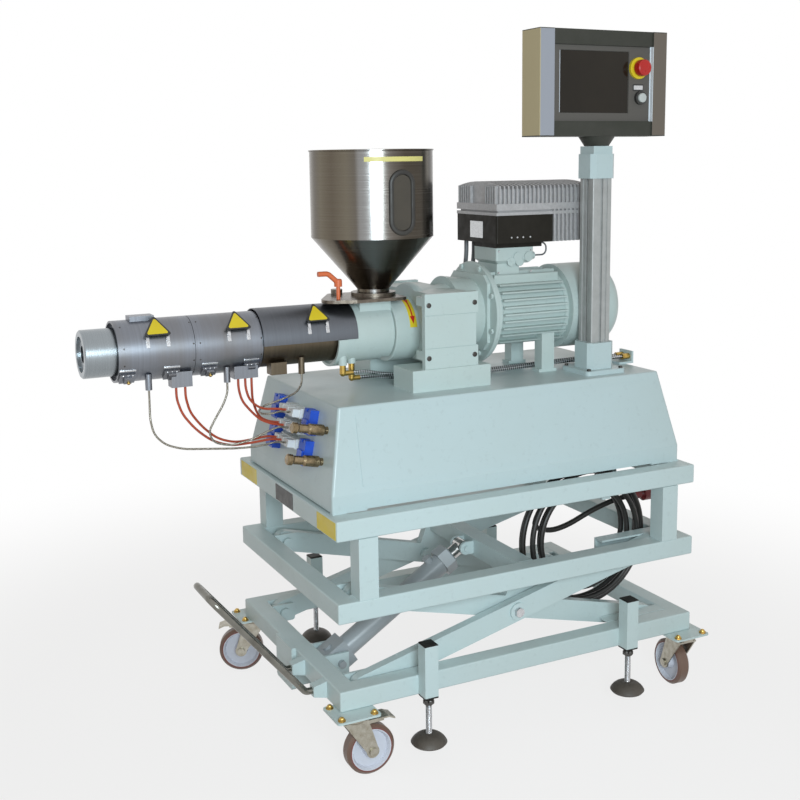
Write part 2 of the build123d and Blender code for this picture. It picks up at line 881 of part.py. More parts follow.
def cover_panel():
    z0 = skirt_bottom + skirt_h
    rise = enclosure_top - z0
    lean = degrees(atan2(enclosure_lean_y, rise))
    slant = hypot(rise, enclosure_lean_y)
    sheet = extrude(RectangleRounded(2 * (enclosure_top_x - cover_margin / 2), cover_side, cover_r), cover_t)
    middle = Pos(0, -(enclosure_y + enclosure_top_y) / 2, (z0 + enclosure_top) / 2)
    return middle * Rot(90 - lean, 0, 0) * Pos(0, -slant * 0.02, 0) * sheet


# Gearbox: a cast waist between two screwed side plates on feet
def gearbox():
    half = gear_y - gear_plate_t
    foot_top = enclosure_top + gear_foot_h
    core_low = foot_top + gear_core_drop
    core = block(gear_front, gear_x1 - 6, -half, half, core_low, gear_top - gear_core_drop)
    core = chamfer(core.edges().filter_by(Axis.Y).group_by(Axis.Z)[0], gear_core_drop)
    x_mid = (gear_front + gear_x1) / 2
    top = Polyline((gear_front, 0), (gear_front, hump_r - 5))
    top += ThreePointArc((gear_front, hump_r - 5), (gear_front + 12, hump_r), (gear_front + 26, hump_r - 4))
    top += ThreePointArc((gear_front + 26, hump_r - 4), (x_mid + 10, saddle_r), (gear_x1, hump_r - 6))
    top += Polyline((gear_x1, hump_r - 6), (gear_x1, 0), (gear_front, 0))
    waist = Pos(0, 0, axis_z) * revolve(Plane.XZ * make_face(top), Axis.X)
    body = core + (waist & block(gear_front, gear_x1, -half, half, axis_z, axis_z + hump_r))
    for sy in (-1, 1):
        y0, y1 = sorted((sy * half, sy * gear_y))
        plate = block(gear_x0, gear_x1, y0, y1, foot_top, gear_top)
        for up in (gear_groove_low, gear_groove_high):
            edge = sy * gear_y
            plate -= block(gear_x0 - 1, gear_x1 + 1, *sorted((edge - sy * gear_groove, edge)),
                           foot_top + up - gear_groove / 2, foot_top + up + gear_groove / 2)
        plate -= block(gear_x1 - 6, gear_x1 + 1, y0 - 1, y1 + 1, foot_top + gear_groove_low,
                       foot_top + gear_groove_high)
        body += plate
        for z0 in (foot_top + gear_lug_h, gear_top - gear_lug_in - gear_lug_h):
            y0, y1 = sorted((sy * half, sy * (half - gear_lug_w)))
            body += block(gear_front - gear_lug_l, gear_front, y0, y1, z0, z0 + gear_lug_h)
        y0, y1 = sorted((sy * gear_foot_y0, sy * gear_foot_y1))
        body += block(gear_foot_x0, gear_foot_x1, y0, y1, enclosure_top, foot_top)
    neck = Plane.YZ.offset(gear_x1 - 8) * Pos(0, motor_z) * Circle(neck_d / 2 + 10)
    mouth = Plane.YZ.offset(flange_x) * Pos(0, motor_z) * Circle(neck_d / 2)
    return body + loft(Sketch() + [neck, mouth])


def motor_flange():
    outline = chamfer(Rectangle(adapter_side, adapter_side).vertices(), adapter_cut)
    plate = Pos(flange_x, 0, motor_z + adapter_up) * extrude(Plane.YZ * outline, flange_t / 2)
    x0 = flange_x + flange_t / 2
    disc = rod_x(flange_d, x0, x0 + flange_t / 2, 0, motor_z)
    rim = rod_x(flange_d - 12, x0 + flange_t / 2, flange_x + 1.5 * flange_t, 0, motor_z)
    return plate + chamfer(disc.edges().filter_by(GeomType.CIRCLE), 2) + rim


motor_x0 = flange_x + 1.5 * flange_t


def motor_body():
    body = rod_x(motor_core_d, motor_x0, motor_x1, 0, motor_z)
    fin_x0, fin_x1 = motor_x0 + end_shield_l - 6, motor_x1 - end_shield_l / 2
    fins = []
    for i in range(fin_rows):
        z = motor_z + (i - (fin_rows - 1) / 2) * fin_pitch
        fins.append(block(fin_x0, fin_x1, -fin_d / 2, fin_d / 2, z - fin_t / 2, z + fin_t / 2))
    for i in (-3, -2, -1, 1, 2, 3):
        y = i * fin_pitch
        fins.append(block(fin_x0, fin_x1, y - fin_t / 2, y + fin_t / 2, motor_z, motor_z + fin_d / 2 - 8))
    envelope = rod_x(fin_d, fin_x0, fin_x1, 0, motor_z)
    seat = block(box_neck_x0, box_neck_x1, -box_neck_y, box_neck_y, motor_z, box_top)
    for fin in fins:
        body += (fin & envelope) - (seat - rod_x(motor_core_d, motor_x0, motor_x1, 0, motor_z))
    for x0, x1 in ((motor_x0, motor_x0 + end_shield_l), (motor_x1 - end_shield_l / 2, motor_x1)):
        shield = rod_x(motor_d, x0, x1, 0, motor_z)
        body += chamfer(shield.edges().filter_by(GeomType.CIRCLE), 4)
    for sy in (-1, 1):
        y0, y1 = sorted((sy * motor_foot_y0, sy * motor_foot_y1))
        x0, x1 = motor_foot_x - motor_foot_l / 2, motor_foot_x + motor_foot_l / 2
        body += block(x0, x1, y0, y1, enclosure_top, motor_z - motor_foot_y0)
        body += block(x0 - 8, x1 + 8, y0, y1, enclosure_top, enclosure_top + 8)
    return body


def fan_cowl():
    cowl = rod_x(cowl_d, motor_x1, cowl_x1, 0, motor_z)
    cowl = fillet(cowl.faces().sort_by(Axis.X)[-1].edges(), cowl_round)
    middle = (cowl_slot_r0 + cowl_slot_r1) / 2
    slot = SlotOverall(cowl_slot_r1 - cowl_slot_r0, cowl_slot_w)
    cut = extrude(Plane.YZ * Pos(middle, 0) * slot, cowl_slot_depth)
    for i in range(cowl_slots):
        cowl -= Pos(cowl_x1 - cowl_slot_depth, 0, motor_z) * Rot(360 / cowl_slots * i, 0, 0) * cut
    return cowl


def terminal_box():
    z_flare, z_neck = box_top - box_flare_h - box_flare, box_top - box_flare_h - box_flare - box_neck_h
    length, middle = box_x1 - box_x0, (box_x0 + box_x1) / 2
    low = Pos(middle, 0, z_flare) * RectangleRounded(length - 2 * box_flare, 2 * (box_y - box_flare),
                                                     box_flare / 2)
    high = Pos(middle, 0, z_flare + box_flare) * RectangleRounded(length, 2 * box_y, box_flare / 2)
    box = loft(Sketch() + [low, high])
    lid = RectangleRounded(length, 2 * box_y, box_flare / 2)
    box += upright(lid, middle, 0, z_flare + box_flare, box_top)
    neck = block(box_neck_x0, box_neck_x1, -box_neck_y, box_neck_y, z_neck, z_flare)
    box += neck - rod_x(motor_core_d, box_x0, box_x1, 0, motor_z)
    z_plug = box_top - box_flare_h / 2 - box_flare
    for i in (0, 1):
        box += rod_y(plug_d, -box_y - plug_t, -box_y, box_x1 - plug_pitch / 2 - i * plug_pitch, z_plug)
    return box + rod_x(gland_d, box_x1, box_x1 + gland_out, loop_y, z_plug)


def inverter_base():
    x1 = inverter_x0 + inverter_black_l
    base = block(inverter_x0, x1, -inverter_y, inverter_y, inverter_bottom, inverter_split)
    base = fillet(base.edges().filter_by(Axis.Z).group_by(Axis.X)[0], rib_t)
    return base + block(box_x0, box_x1 + inverter_seat, -box_y, box_y, box_top, inverter_bottom)


# Heat sink: an arched core with upright ribs that run over it from side to side
def arch(inset, x0, x1, z0):
    half, top = inverter_y - inset, inverter_top - inset
    shoulder = top - sink_arch
    outline = Polyline((half, shoulder), (half, z0), (-half, z0), (-half, shoulder))
    outline += ThreePointArc((-half, shoulder), (0, top), (half, shoulder))
    return Pos(x0, 0, 0) * extrude(Plane.YZ * make_face(outline), x1 - x0)


def inverter_heat_sink():
    x_split = inverter_x0 + inverter_black_l
    sink = arch(rib_deep, inverter_x0 + rib_deep, inverter_x1 - rib_deep, inverter_split)
    sink += block(x_split, inverter_x1 - rib_deep, rib_deep - inverter_y, inverter_y - rib_deep,
                  inverter_bottom, inverter_split)
    sink += block(inverter_x0, inverter_x1, -inverter_y, inverter_y,
                  inverter_split, inverter_split + sink_strip)
    sink += block(inverter_x0, inverter_x1, -inverter_y, inverter_y,
                  inverter_split + sink_strip + rib_t, inverter_split + sink_strip + sink_plain)
    count = int((inverter_x1 - inverter_x0 - rib_t) / rib_pitch) + 1
    for i in range(count):
        x = inverter_x1 - rib_t - i * rib_pitch
        z0 = inverter_bottom if x > x_split else inverter_split + sink_plain
        sink += arch(0, x, x + rib_t, z0)
    for y in side_ribs:
        sink += block(inverter_x0, inverter_x0 + rib_deep + 1, y - rib_t / 2, y + rib_t / 2,
                      inverter_split + sink_plain, inverter_top - sink_arch)
    return sink


# Barrel and its heaters
core_d = band_d - 2 * core_gap


def sleeve(d_out, d_in, x0, x1):
    return rod_x(d_out, x0, x1, 0, axis_z) - rod_x(d_in, x0 - 1, x1 + 1, 0, axis_z)


def barrel():
    face_x = cover_x0 + cover_recess
    nose = rod_x(nose_d, nose_x, face_x, 0, axis_z)
    nose = chamfer(nose.faces().sort_by(Axis.X)[0].edges(), nose_chamfer)
    core = rod_x(core_d, face_x, feed_x0 + feed_counter_l, 0, axis_z)
    recess = rod_x(nose_recess_d, nose_x - 1, nose_x + nose_recess, 0, axis_z)
    bore = rod_x(nose_bore_d, nose_x - 1, nose_x + nose_bore_l, 0, axis_z)
    return nose + core - recess - bore


def latch(x):
    body = block(x - latch_l / 2, x + latch_l / 2, -cover_d / 2 - latch_t, -cover_d / 2 + latch_t,
                 -latch_w / 2, latch_w / 2)
    body += block(x - latch_l / 4, x + latch_l / 4, -cover_d / 2 - 2 * latch_t, -cover_d / 2, -latch_w / 4,
                  latch_w / 2 - latch_t / 2)
    return Pos(0, 0, axis_z) * Rot(latch_turn, 0, 0) * body


def lead_box(x0, x1, z0):
    y0 = lead_y - lead_box_t / 2
    return block(x0, x1, y0, y0 + lead_box_t, z0, sensor_socket_z1)


def heater_cover(x0, x1, latches):
    cover = sleeve(cover_d, core_d, x0, x1)
    for x in latches:
        cover += latch(x)
    return cover


def heater_covers():
    front = heater_cover(cover_x0 + cover_recess, cover_split - cover_gap / 2, front_latches)
    front += sleeve(cover_d, cover_d - 2 * cover_rim, cover_x0, cover_x0 + cover_recess)
    front += lead_box(*front_lead_box) + rod_z(socket_d, socket_z0, sensor_socket_z1, sensor_x[0], sensor_y)
    flat = axis_z + cover_d / 2
    plate = block(sensor_box_x, sensor_box_x + sensor_box_l, -sensor_box_w / 2, sensor_box_w / 2,
                  flat - 2 * sensor_box_h, flat + sensor_box_h)
    front += plate - rod_x(core_d, cover_x0, cover_split, 0, axis_z)
    middle = heater_cover(cover_split + cover_gap / 2, cover_x1, middle_latches)
    middle += lead_box(*middle_lead_box) + rod_z(socket_d, socket_z0, sensor_socket_z1, sensor_x[1], sensor_y)
    return [front, middle]


def rear_heater_band():
    band = sleeve(band_d, core_d, cover_x1 + band_gap, feed_x0 + feed_counter_l)
    third = lead_box(*rear_lead_box) + rod_z(socket_d, rear_socket_z0, rear_socket_z1, sensor_x[2], sensor_y)
    return band + (third - rod_x(core_d, cover_x1, feed_x0, 0, axis_z))


def rear_heat_shield():
    shell = sleeve(shield_d, shield_d - 2 * shield_skin, cover_x1, shield_x1)
    return shell - block(cover_x1 - 1, shield_x1 + 1, -shield_d, shield_d,
                         axis_z - shield_d, axis_z - shield_low)


def feed_housing():
    body = rod_x(feed_d, feed_x0, feed_x1, 0, axis_z) + rod_x(seam_d, feed_x1, collar_x0, 0, axis_z)
    flange = rod_x(feed_flange_d, feed_x0, feed_x0 + feed_flange_l, 0, axis_z)
    body += flange & block(feed_x0, feed_x1, -feed_d, feed_d, axis_z - feed_d, axis_z - shield_low)
    collar = rod_x(collar_d, collar_x0, gear_front, 0, axis_z)
    body += chamfer(collar.faces().sort_by(Axis.X)[0].edges(), 2)
    body += block(pad_x0, collar_x0, -pad_y, pad_y, axis_z, pad_z)
    for x, y, z, reach in hose_starts:
        body += rod_z(fitting_d + 6, fitting_top, axis_z - feed_d / 4, x, y)
    body -= rod_x(band_d + 2 * feed_counterbore, feed_x0 - 1, feed_x0 + feed_counter_l, 0, axis_z)
    body -= block(feed_x1 - drain_l, feed_x1, -drain_w / 2, drain_w / 2, axis_z - feed_d / 2 - 1,
                  axis_z - feed_d / 2 + drain_h)
    return body


# Hopper
def hopper():
    r, w, z = hopper_d / 2, hopper_wall, neck_z
    rn = hopper_neck_d / 2
    rim_z = hopper_top - hopper_rim
    outline = Polyline((rn, z), (r, hopper_seam), (r, rim_z), (r + hopper_rim / 2, rim_z),
                       (r + hopper_rim / 2, hopper_top), (r - w, hopper_top), (r - w, hopper_seam),
                       (rn - w, z + w), (rn - w, z - hopper_neck_l), (rn, z - hopper_neck_l), close=True)
    drum = revolve(Plane.XZ * make_face(outline), Axis.Z)
    ring_outer = extrude(Plane.YZ * SlotOverall(glass_l, glass_w, rotation=90), r + glass_t)
    pane = SlotOverall(glass_l - 2 * glass_rim, glass_w - 2 * glass_rim, rotation=90)
    ring_inner = extrude(Plane.YZ * pane, 2 * r)
    rim = Pos(0, 0, glass_z) * (ring_outer - ring_inner)
    rim -= rod_z(2 * (r - w / 2), hopper_seam, hopper_top)
    return Pos(hopper_x, 0, 0) * (drum + Rot(0, 0, glass_turn) * rim)


def hopper_lid():
    r = hopper_d / 2
    top = Pos(hopper_x, 0, hopper_top + lid_gap) * extrude(Circle(r + lid_over), lid_t)
    top = fillet(top.edges().group_by(Axis.Z)[-1], lid_t / 3)
    plug = extrude(Circle(r - hopper_wall - lid_over), lid_plug + lid_gap)
    plug = Pos(hopper_x, 0, hopper_top - lid_plug) * plug
    return top + plug


# Slide gate with a rounded nose, and the flange under the hopper's neck
def slide_gate():
    outline = make_hull((Sketch() + Pos(gate_nose_x, gate_nose_y) * Circle(gate_nose_r)
                         + Pos(gate_x0, gate_y - gate_corner) * Circle(gate_corner)
                         + Pos(gate_x0, gate_corner - gate_y) * Circle(gate_corner)
                         + Pos(gate_x1 - gate_corner, gate_y - gate_corner) * Circle(gate_corner)
                         + Pos(gate_x1 - gate_corner, gate_corner - gate_y) * Circle(gate_corner)).edges())
    gate = upright(outline, 0, 0, pad_z, pad_z + gate_t)
    gate += rod_z(gate_flange_d, pad_z + gate_t, neck_z - hopper_neck_l, hopper_x)
    gate += rod_z(knob_d, pad_z + gate_t, pad_z + gate_t + knob_h, knob_x, knob_y)
    return gate - rod_z(hopper_neck_d - 2 * hopper_wall, pad_z - 1, neck_z, hopper_x)


def clamp_lever():
    z0 = pad_z + gate_t + stem_gap
    stem = rod_z(stem_d, z0, z0 + stem_h, lever_x, lever_y)
    hub = rod_z(lever_hub_d, z0 + stem_h, z0 + stem_h + lever_hub_h, lever_x, lever_y)
    hub = fillet(hub.edges().group_by(Axis.Z)[-1], lever_hub_d / 5)
    z_arm = z0 + stem_h + lever_hub_h / 2
    points = [(lever_x, lever_y, z_arm), (lever_x - lever_reach / 2, lever_y, z_arm + lever_rise),
              (lever_x - lever_reach, lever_y, z_arm + lever_rise)]
    path = FilletPolyline(*points, radius=lever_reach / 3)
    return stem + hub + sweep(Plane(path @ 0, z_dir=path % 0) * Circle(lever_d / 2), path=path)


# Control post and panel
def post_fittings():
    plate = RectangleRounded(post_plate, post_plate, post_plate_r)
    foot = upright(plate, post_x, post_y, enclosure_top, post_foot)
    clamp = chamfer(Rectangle(clamp_side, clamp_side).vertices(), clamp_cut)
    foot += upright(clamp, post_x, post_y, post_foot, clamp_top)
    collar = chamfer(Rectangle(collar_side, collar_side).vertices(), collar_cut)
    head = upright(collar, post_x, post_y, post_top, collar_top)
    head += upright(Rectangle(neck_side, neck_side), post_x, post_y, collar_top, neck_top)
    return [foot, head]


def panel_post():
    section = RectangleRounded(post_side, post_side, post_groove)
    for turn in (0, 90, 180, 270):
        groove = Pos(post_side / 2, 0) * Rectangle(2 * post_groove, post_groove_w)
        slit = Pos(post_side / 2, 0) * Rectangle(6 * post_groove, post_groove_w / 4)
        section -= Rot(0, 0, turn) * (groove + slit)
    return upright(section, post_x, post_y, clamp_top, post_top)


def panel_housing():
    z0 = neck_top + swivel_lift
    wide = Pos(0, 0, panel_bottom) * Circle(swivel_wide_d / 2)
    narrow = Pos(0, 0, z0) * Circle(swivel_neck_d / 2)
    flange = Pos(post_x, post_y, 0) * loft(Sketch() + [narrow, wide])
    x1, y1, z1 = panel_x0 + panel_w, panel_y0 + panel_depth, panel_bottom + panel_h
    housing = block(panel_x0, x1, panel_y0, y1, panel_bottom, z1)
    housing = chamfer(housing.edges().filter_by(Axis.Z).group_by(Axis.Y)[-1], panel_strip_t * 3)
    face_x0, face_x1 = panel_x0 + panel_strip, x1 - panel_strip
    housing -= block(face_x0, face_x1, panel_y0 - 1, panel_face, panel_bottom + panel_band, z1 - panel_band)
    housing -= block(panel_x0 + screen_x0, panel_x0 + screen_x0 + screen_w, panel_y0, panel_face + screen_deep,
                     panel_bottom + screen_z0, panel_bottom + screen_z0 + screen_h)
    for x0 in (panel_x0, x1 - panel_strip):
        housing += block(x0, x0 + panel_strip, panel_y0 - panel_strip_t, panel_y0, panel_bottom, z1)
    housing += rod_y(stop_ring_d, panel_face - stop_ring_t, panel_face, stop_x, stop_z)
    housing += rod_y(push_bezel_d, panel_face - push_bezel_t, panel_face, push_x, push_z)
    deep = panel_face + button_depth
    housing -= rod_y(stop_stem_d + 2 * button_clear, panel_y0 - stop_ring_t, deep, stop_x, stop_z)
    housing -= rod_y(push_d + button_clear, panel_y0 - push_bezel_t, deep, push_x, push_z)
    return flange + housing


def e_stop_button():
    y_ring = panel_face - stop_ring_t
    y_head = y_ring - stop_travel - 2
    head = rod_y(stop_head_d, y_head - stop_head_t, y_head, stop_x, stop_z)
    head = fillet(head.faces().sort_by(Axis.Y)[0].edges(), stop_head_t / 4)
    return head + rod_y(stop_stem_d, y_head - stop_head_t / 2, panel_face + 1, stop_x, stop_z)


def push_button():
    button = rod_y(push_d, panel_face - push_bezel_t - push_proud, panel_face + 1, push_x, push_z)
    return chamfer(button.faces().sort_by(Axis.Y)[0].edges(), 1.5)


# Connectors on the sloped end, drawn out of the slope's own plane
slope_h = enclosure_top - skirt_bottom - skirt_h
slope_rise = slope_h / hypot(slope_h, enclosure_lean_x)
slope_run = enclosure_lean_x / hypot(enclosure_top - skirt_bottom - skirt_h, enclosure_lean_x)


def on_slope(y, z, off=0):
    x = -enclosure_x + (z - skirt_bottom - skirt_h) * slope_run / slope_rise
    return (x - slope_rise * off, y, z + slope_run * off)


def slope_plane(y, z, off=0):
    return Plane(on_slope(y, z, off), x_dir=(0, -1, 0), z_dir=(-slope_rise, 0, slope_run))


def heater_sockets():
    sockets = []
    for y in socket_columns:
        for z in socket_rows:
            plane = slope_plane(y, z)
            socket = extrude(plane * Rectangle(socket_w, socket_h), socket_t)
            raised = Rectangle(socket_w - socket_step, socket_h / 2)
            socket += extrude(plane * Pos(0, -socket_h / 6) * raised, socket_t + socket_raise)
            sockets.append(socket - extrude(plane * Pos(0, socket_h / 2) * Rectangle(10, 14), socket_t + 5))
    return sockets


def heater_plugs():
    plugs = []
    for z in plug_rows:
        for y in plug_columns:
            plane = slope_plane(y, z)
            plug = extrude(plane * Rectangle(plug_w, plug_h), plug_l * 0.6)
            plug += extrude(plane * Rectangle(plug_w - 6, plug_h - 6), plug_l)
            plugs.append(plug)
    return plugs


def sensor_plugs():
    plugs = []
    for z in sensor_plug_rows:
        plane = slope_plane(sensor_plug_y, z)
        r, l = sensor_plug_d / 2, sensor_plug_l
        neck, waist = r - sensor_plug_neck, r - sensor_plug_waist
        outline = Polyline((0, 0), (neck, 0), (neck, l * 0.08), (r, l * 0.12), (r, l * 0.5), (waist, l * 0.56),
                           (waist, l * 0.82), (r, l * 0.86), (r, l * 0.97), (waist, l), (0, l), close=True)
        plugs.append(plane.location * revolve(Plane.XZ * make_face(outline), Axis.Z))
    return plugs


# Held cords along their real routes
def water_fittings():
    fittings = []
    for x, y, z, reach in hose_starts:
        elbow = rod_z(fitting_d, z, fitting_top, x, y) + Pos(x, y, z) * Sphere(fitting_d / 2)
        fittings.append(elbow + rod_x(fitting_d - 3, x, x + reach, y, z))
    x1 = manifold_x
    for y in manifold_ys:
        fittings.append(rod_x(fitting_d, x1 - fitting_l, x1, y, manifold_z))
    return fittings


def leads(kind, diameter, routes):
    made = []
    for i, (points, column, row) in enumerate(routes):
        y, z = plug_columns[column], plug_rows[row]
        points = points + [on_slope(y, z, plug_l + lead_straight), on_slope(y, z, plug_l)]
        made.append(cord(f"{kind} {i + 1}", diameter, points, lead_least))
    return made


def cooling_hoses():
    made = []
    for i, (start, middle, y_end) in enumerate(zip(hose_starts, hose_routes, manifold_ys)):
        x0 = start[0] + start[3]
        x1 = manifold_x - fitting_l
        ends = [(x1 - hose_straight, y_end, manifold_z), (x1, y_end, manifold_z)]
        points = [(x0, start[1], start[2])] + middle + ends
        made.append(cord(f"cooling hose {i + 1}", hose_d, points, hose_least))
    return made


def inverter_conduits():
    made = []
    for i in (0, 1):
        points = [(x + i * conduit_pitch, y, z) for x, y, z in conduit_route]
        made.append(cord(f"conduit {i + 1}", conduit_d, points, hose_least))
    z0, z1 = box_top - box_flare_h / 2 - box_flare, box_top + inverter_gap / 2
    x0, x1 = box_x1 + gland_out, box_x1 + inverter_seat
    far = x1 + z1 - z0
    points = [(x0, loop_y, z0), (far, loop_y, z0), (far, loop_y, z1), (x1, loop_y, z1)]
    made.append(cord("sensing loop", loop_d, points, loop_least))
    return made


# Power cable: the coil's outer shape, its free end and the plug
def power_cable_coil():
    return Pos(coil_x, coil_y, coil_z) * Rot(90, 0, 0) * Torus(coil_r, coil_tube_r)


def power_cable_tail():
    return cord("power cable tail", cable_d, tail_route, hose_least)


def power_plug():
    x, y, z = tail_route[-1]
    r, l = plug_body_d / 2, plug_body_l
    sleeve = cable_d / 2 + plug_sleeve
    outline = Polyline((0, 0), (sleeve, 0), (sleeve + 2, l * 0.3), (r - plug_lip, l * 0.38), (r, l * 0.44),
                       (r, l * 0.9), (r - plug_lip, l * 0.9), (r - plug_lip, l), (0, l), close=True)
    return Pos(x, y, z) * Rot(0, 90, 0) * revolve(Plane.XZ * make_face(outline), Axis.Z)


def cable_hook():
    top = coil_z + ((coil_r - coil_tube_r) ** 2 - (hook_w / 2) ** 2) ** 0.5
    x0, x1 = coil_x - hook_w / 2, coil_x + hook_w / 2
    y1 = coil_y + coil_tube_r + hook_t / 2
    hook = block(x0, x1, -inner_y, y1, top - hook_t, top)
    hook += block(x0, x1, -inner_y, -inner_y + hook_t, top - hook_t, top_bottom + tube / 2)
    return hook + block(x0, x1, y1, y1 + hook_t, top - hook_t, top + 2 * hook_t)


# Writing the pieces
save("base_frame", base_frame())
tubes, caps = leg_parts()
save("leg_tubes", *tubes)
save("leg_caps", *caps)
for sx, sy, name in ((-1, -1, "near_left"), (-1, 1, "far_left"), (1, -1, "near_right"), (1, 1, "far_right")):
    save(f"levelling_foot_{name}", levelling_foot(sx, sy))
    fork = castor_fork() - pedal_hole() if sx < 0 else castor_fork()
    save(f"castor_fork_{name}", castor_place(name) * fork)
    save(f"castor_wheel_{name}", castor_place(name) * castor_wheel())
    if sx < 0:
        save(f"brake_pedal_{name}", castor_place(name) * brake_pedal())
save("tow_handle", tow_handle())
save("cylinder_anchor", cylinder_anchor())
save("outer_arms", *both(outer_arm()))
save("inner_arm_frame", inner_arm_frame())
save("lift_cylinder", lift_cylinder())
save("piston_rod", piston_rod())
save("upper_frame", upper_frame())
save("enclosure", enclosure())
save("cover_panel", cover_panel())
save("gearbox", gearbox())
save("motor_flange", motor_flange())
save("motor_body", motor_body())
save("fan_cowl", fan_cowl())
save("terminal_box", terminal_box())
save("inverter_base", inverter_base())
save("inverter_heat_sink", inverter_heat_sink())
save("barrel", barrel())
save("heater_covers", *heater_covers())
save("rear_heater_band", rear_heater_band())
save("rear_heat_shield", rear_heat_shield())
save("feed_housing", feed_housing())
save("hopper", hopper())
save("hopper_lid", hopper_lid())
save("slide_gate", slide_gate())
save("clamp_lever", clamp_lever())
save("post_fittings", *post_fittings())
save("panel_post", panel_post())
save("panel_housing", panel_housing())
save("e_stop_button", e_stop_button())
save("push_button", push_button())
save("heater_sockets", *heater_sockets())
save("heater_plugs", *heater_plugs())
save("sensor_plugs", *sensor_plugs())
save("water_fittings", *water_fittings())
save("heater_leads", *leads("heater lead", red_d, heater_routes))
save("thermocouple_leads", *leads("thermocouple lead", sensor_d, sensor_routes))
save("cooling_hoses", *cooling_hoses())
save("inverter_conduits", *inverter_conduits())
save("power_cable_coil", power_cable_coil())
save("power_cable_tail", power_cable_tail())
save("power_plug", power_plug())
save("cable_hook", cable_hook())
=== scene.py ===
# Looks of a small plastic extruder on a scissor-lift trolley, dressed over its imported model.
import math

import bpy
import numpy as np
from mathutils import Matrix, Vector


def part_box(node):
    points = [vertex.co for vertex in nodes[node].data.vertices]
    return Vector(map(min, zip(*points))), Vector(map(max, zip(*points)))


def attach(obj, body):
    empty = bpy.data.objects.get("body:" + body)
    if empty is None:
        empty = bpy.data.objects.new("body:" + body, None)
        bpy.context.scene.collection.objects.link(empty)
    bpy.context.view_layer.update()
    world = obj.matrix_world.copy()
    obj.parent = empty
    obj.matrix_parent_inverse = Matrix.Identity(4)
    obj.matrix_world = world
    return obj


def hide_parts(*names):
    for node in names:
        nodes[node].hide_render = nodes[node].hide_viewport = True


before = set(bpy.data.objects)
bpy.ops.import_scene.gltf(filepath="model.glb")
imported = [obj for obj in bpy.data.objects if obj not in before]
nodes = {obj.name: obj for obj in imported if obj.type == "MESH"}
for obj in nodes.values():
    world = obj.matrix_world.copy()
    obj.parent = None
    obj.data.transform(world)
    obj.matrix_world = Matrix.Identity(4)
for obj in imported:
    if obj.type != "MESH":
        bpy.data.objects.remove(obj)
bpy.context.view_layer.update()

# Sizes are written in millimetres, with x from the middle of the trolley frame.
trolley_x = 231.0

# The barrel's axis height and the radii of its heater covers and rear shield.
barrel_z, cover_radius, shield_radius = 1016.0, 73, 79

# The y of the cover panel's screws and plate: a known fault, as the sloped panel stands out past it.
cover_face = -243.4

# The hopper, a little narrower than its node, with the sight glass where the photograph shows it.
hopper_middle, hopper_radius, hopper_seam, hopper_top = (-262.0, 0.0, 0.0), 156.5, 1259.0, 1474.0


# Camera, light and stage.
def photo_camera():
    """The photograph's eye: its back points along (sin turn cos rise, -cos turn cos rise, sin rise), and it
    is then rolled about that axis."""
    turn, rise, roll = np.radians((-26.504, 9.320, -0.747))
    back = np.array((math.sin(turn) * math.cos(rise), -math.cos(turn) * math.cos(rise), math.sin(rise)))
    level = np.array((math.cos(turn), math.sin(turn), 0.0))
    above = np.cross(back, level)
    right = math.cos(roll) * level + math.sin(roll) * above
    up = math.cos(roll) * above - math.sin(roll) * level
    lens = bpy.data.cameras.new("photo_camera")
    lens.sensor_width = 36
    lens.lens = 52.149
    lens.shift_y = -0.0625
    eye = bpy.data.objects.new("photo_camera", lens)
    place = Matrix.Identity(4)
    for row in range(3):
        for column, axis in enumerate((right, up, back)):
            place[row][column] = axis[row]
    place.translation = (-1.3005, -2.6963, 1.4512)
    eye.matrix_world = place
    bpy.context.scene.collection.objects.link(eye)
    bpy.context.scene.camera = eye


def soft_lamp(name, place, aim, size, power, tint):
    """A square soft box at place, turned so that its face looks at aim."""
    lamp = bpy.data.lights.new(name, "AREA")
    lamp.size = size
    lamp.energy = power
    lamp.color = tint
    holder = bpy.data.objects.new(name, lamp)
    holder.location = place
    holder.rotation_euler = (Vector(aim) - Vector(place)).to_track_quat("-Z", "Y").to_euler()
    bpy.context.scene.collection.objects.link(holder)


def wire(material, kind, sockets=(), **settings):
    """One shader node with its settings, each socket given a value or joined to another node's socket."""
    made = material.node_tree.nodes.new(kind)
    for key, value in settings.items():
        setattr(made, key, value)
    for key, value in dict(sockets).items():
        if isinstance(value, bpy.types.NodeSocket):
            material.node_tree.links.new(value, made.inputs[key])
        else:
            made.inputs[key].default_value = value
    return made


def studio_air():
    """Even pale light on the object, and plain white wherever the camera, metal or glass looks past it."""
    air = bpy.data.worlds.new("studio_air")
    air.use_nodes = True
    bpy.context.scene.world = air
    tree = air.node_tree
    fill = tree.nodes["Background"]
    fill.inputs["Color"].default_value = (1.0, 0.93, 0.85, 1)
    fill.inputs["Strength"].default_value = 0.34
    white = wire(air, "ShaderNodeBackground", {"Color": (1, 1, 1, 1), "Strength": 1.0})
    rays = wire(air, "ShaderNodeLightPath")
    seen = wire(air, "ShaderNodeMath", {0: rays.outputs["Is Camera Ray"], 1: rays.outputs["Is Glossy Ray"]},
                operation="MAXIMUM")
    seen = wire(air, "ShaderNodeMath", {0: seen.outputs[0], 1: rays.outputs["Is Transmission Ray"]},
                operation="MAXIMUM")
    pick = wire(air, "ShaderNodeMixShader", {0: seen.outputs[0], 1: fill.outputs[0], 2: white.outputs[0]})
    tree.links.new(pick.outputs[0], tree.nodes["World Output"].inputs["Surface"])


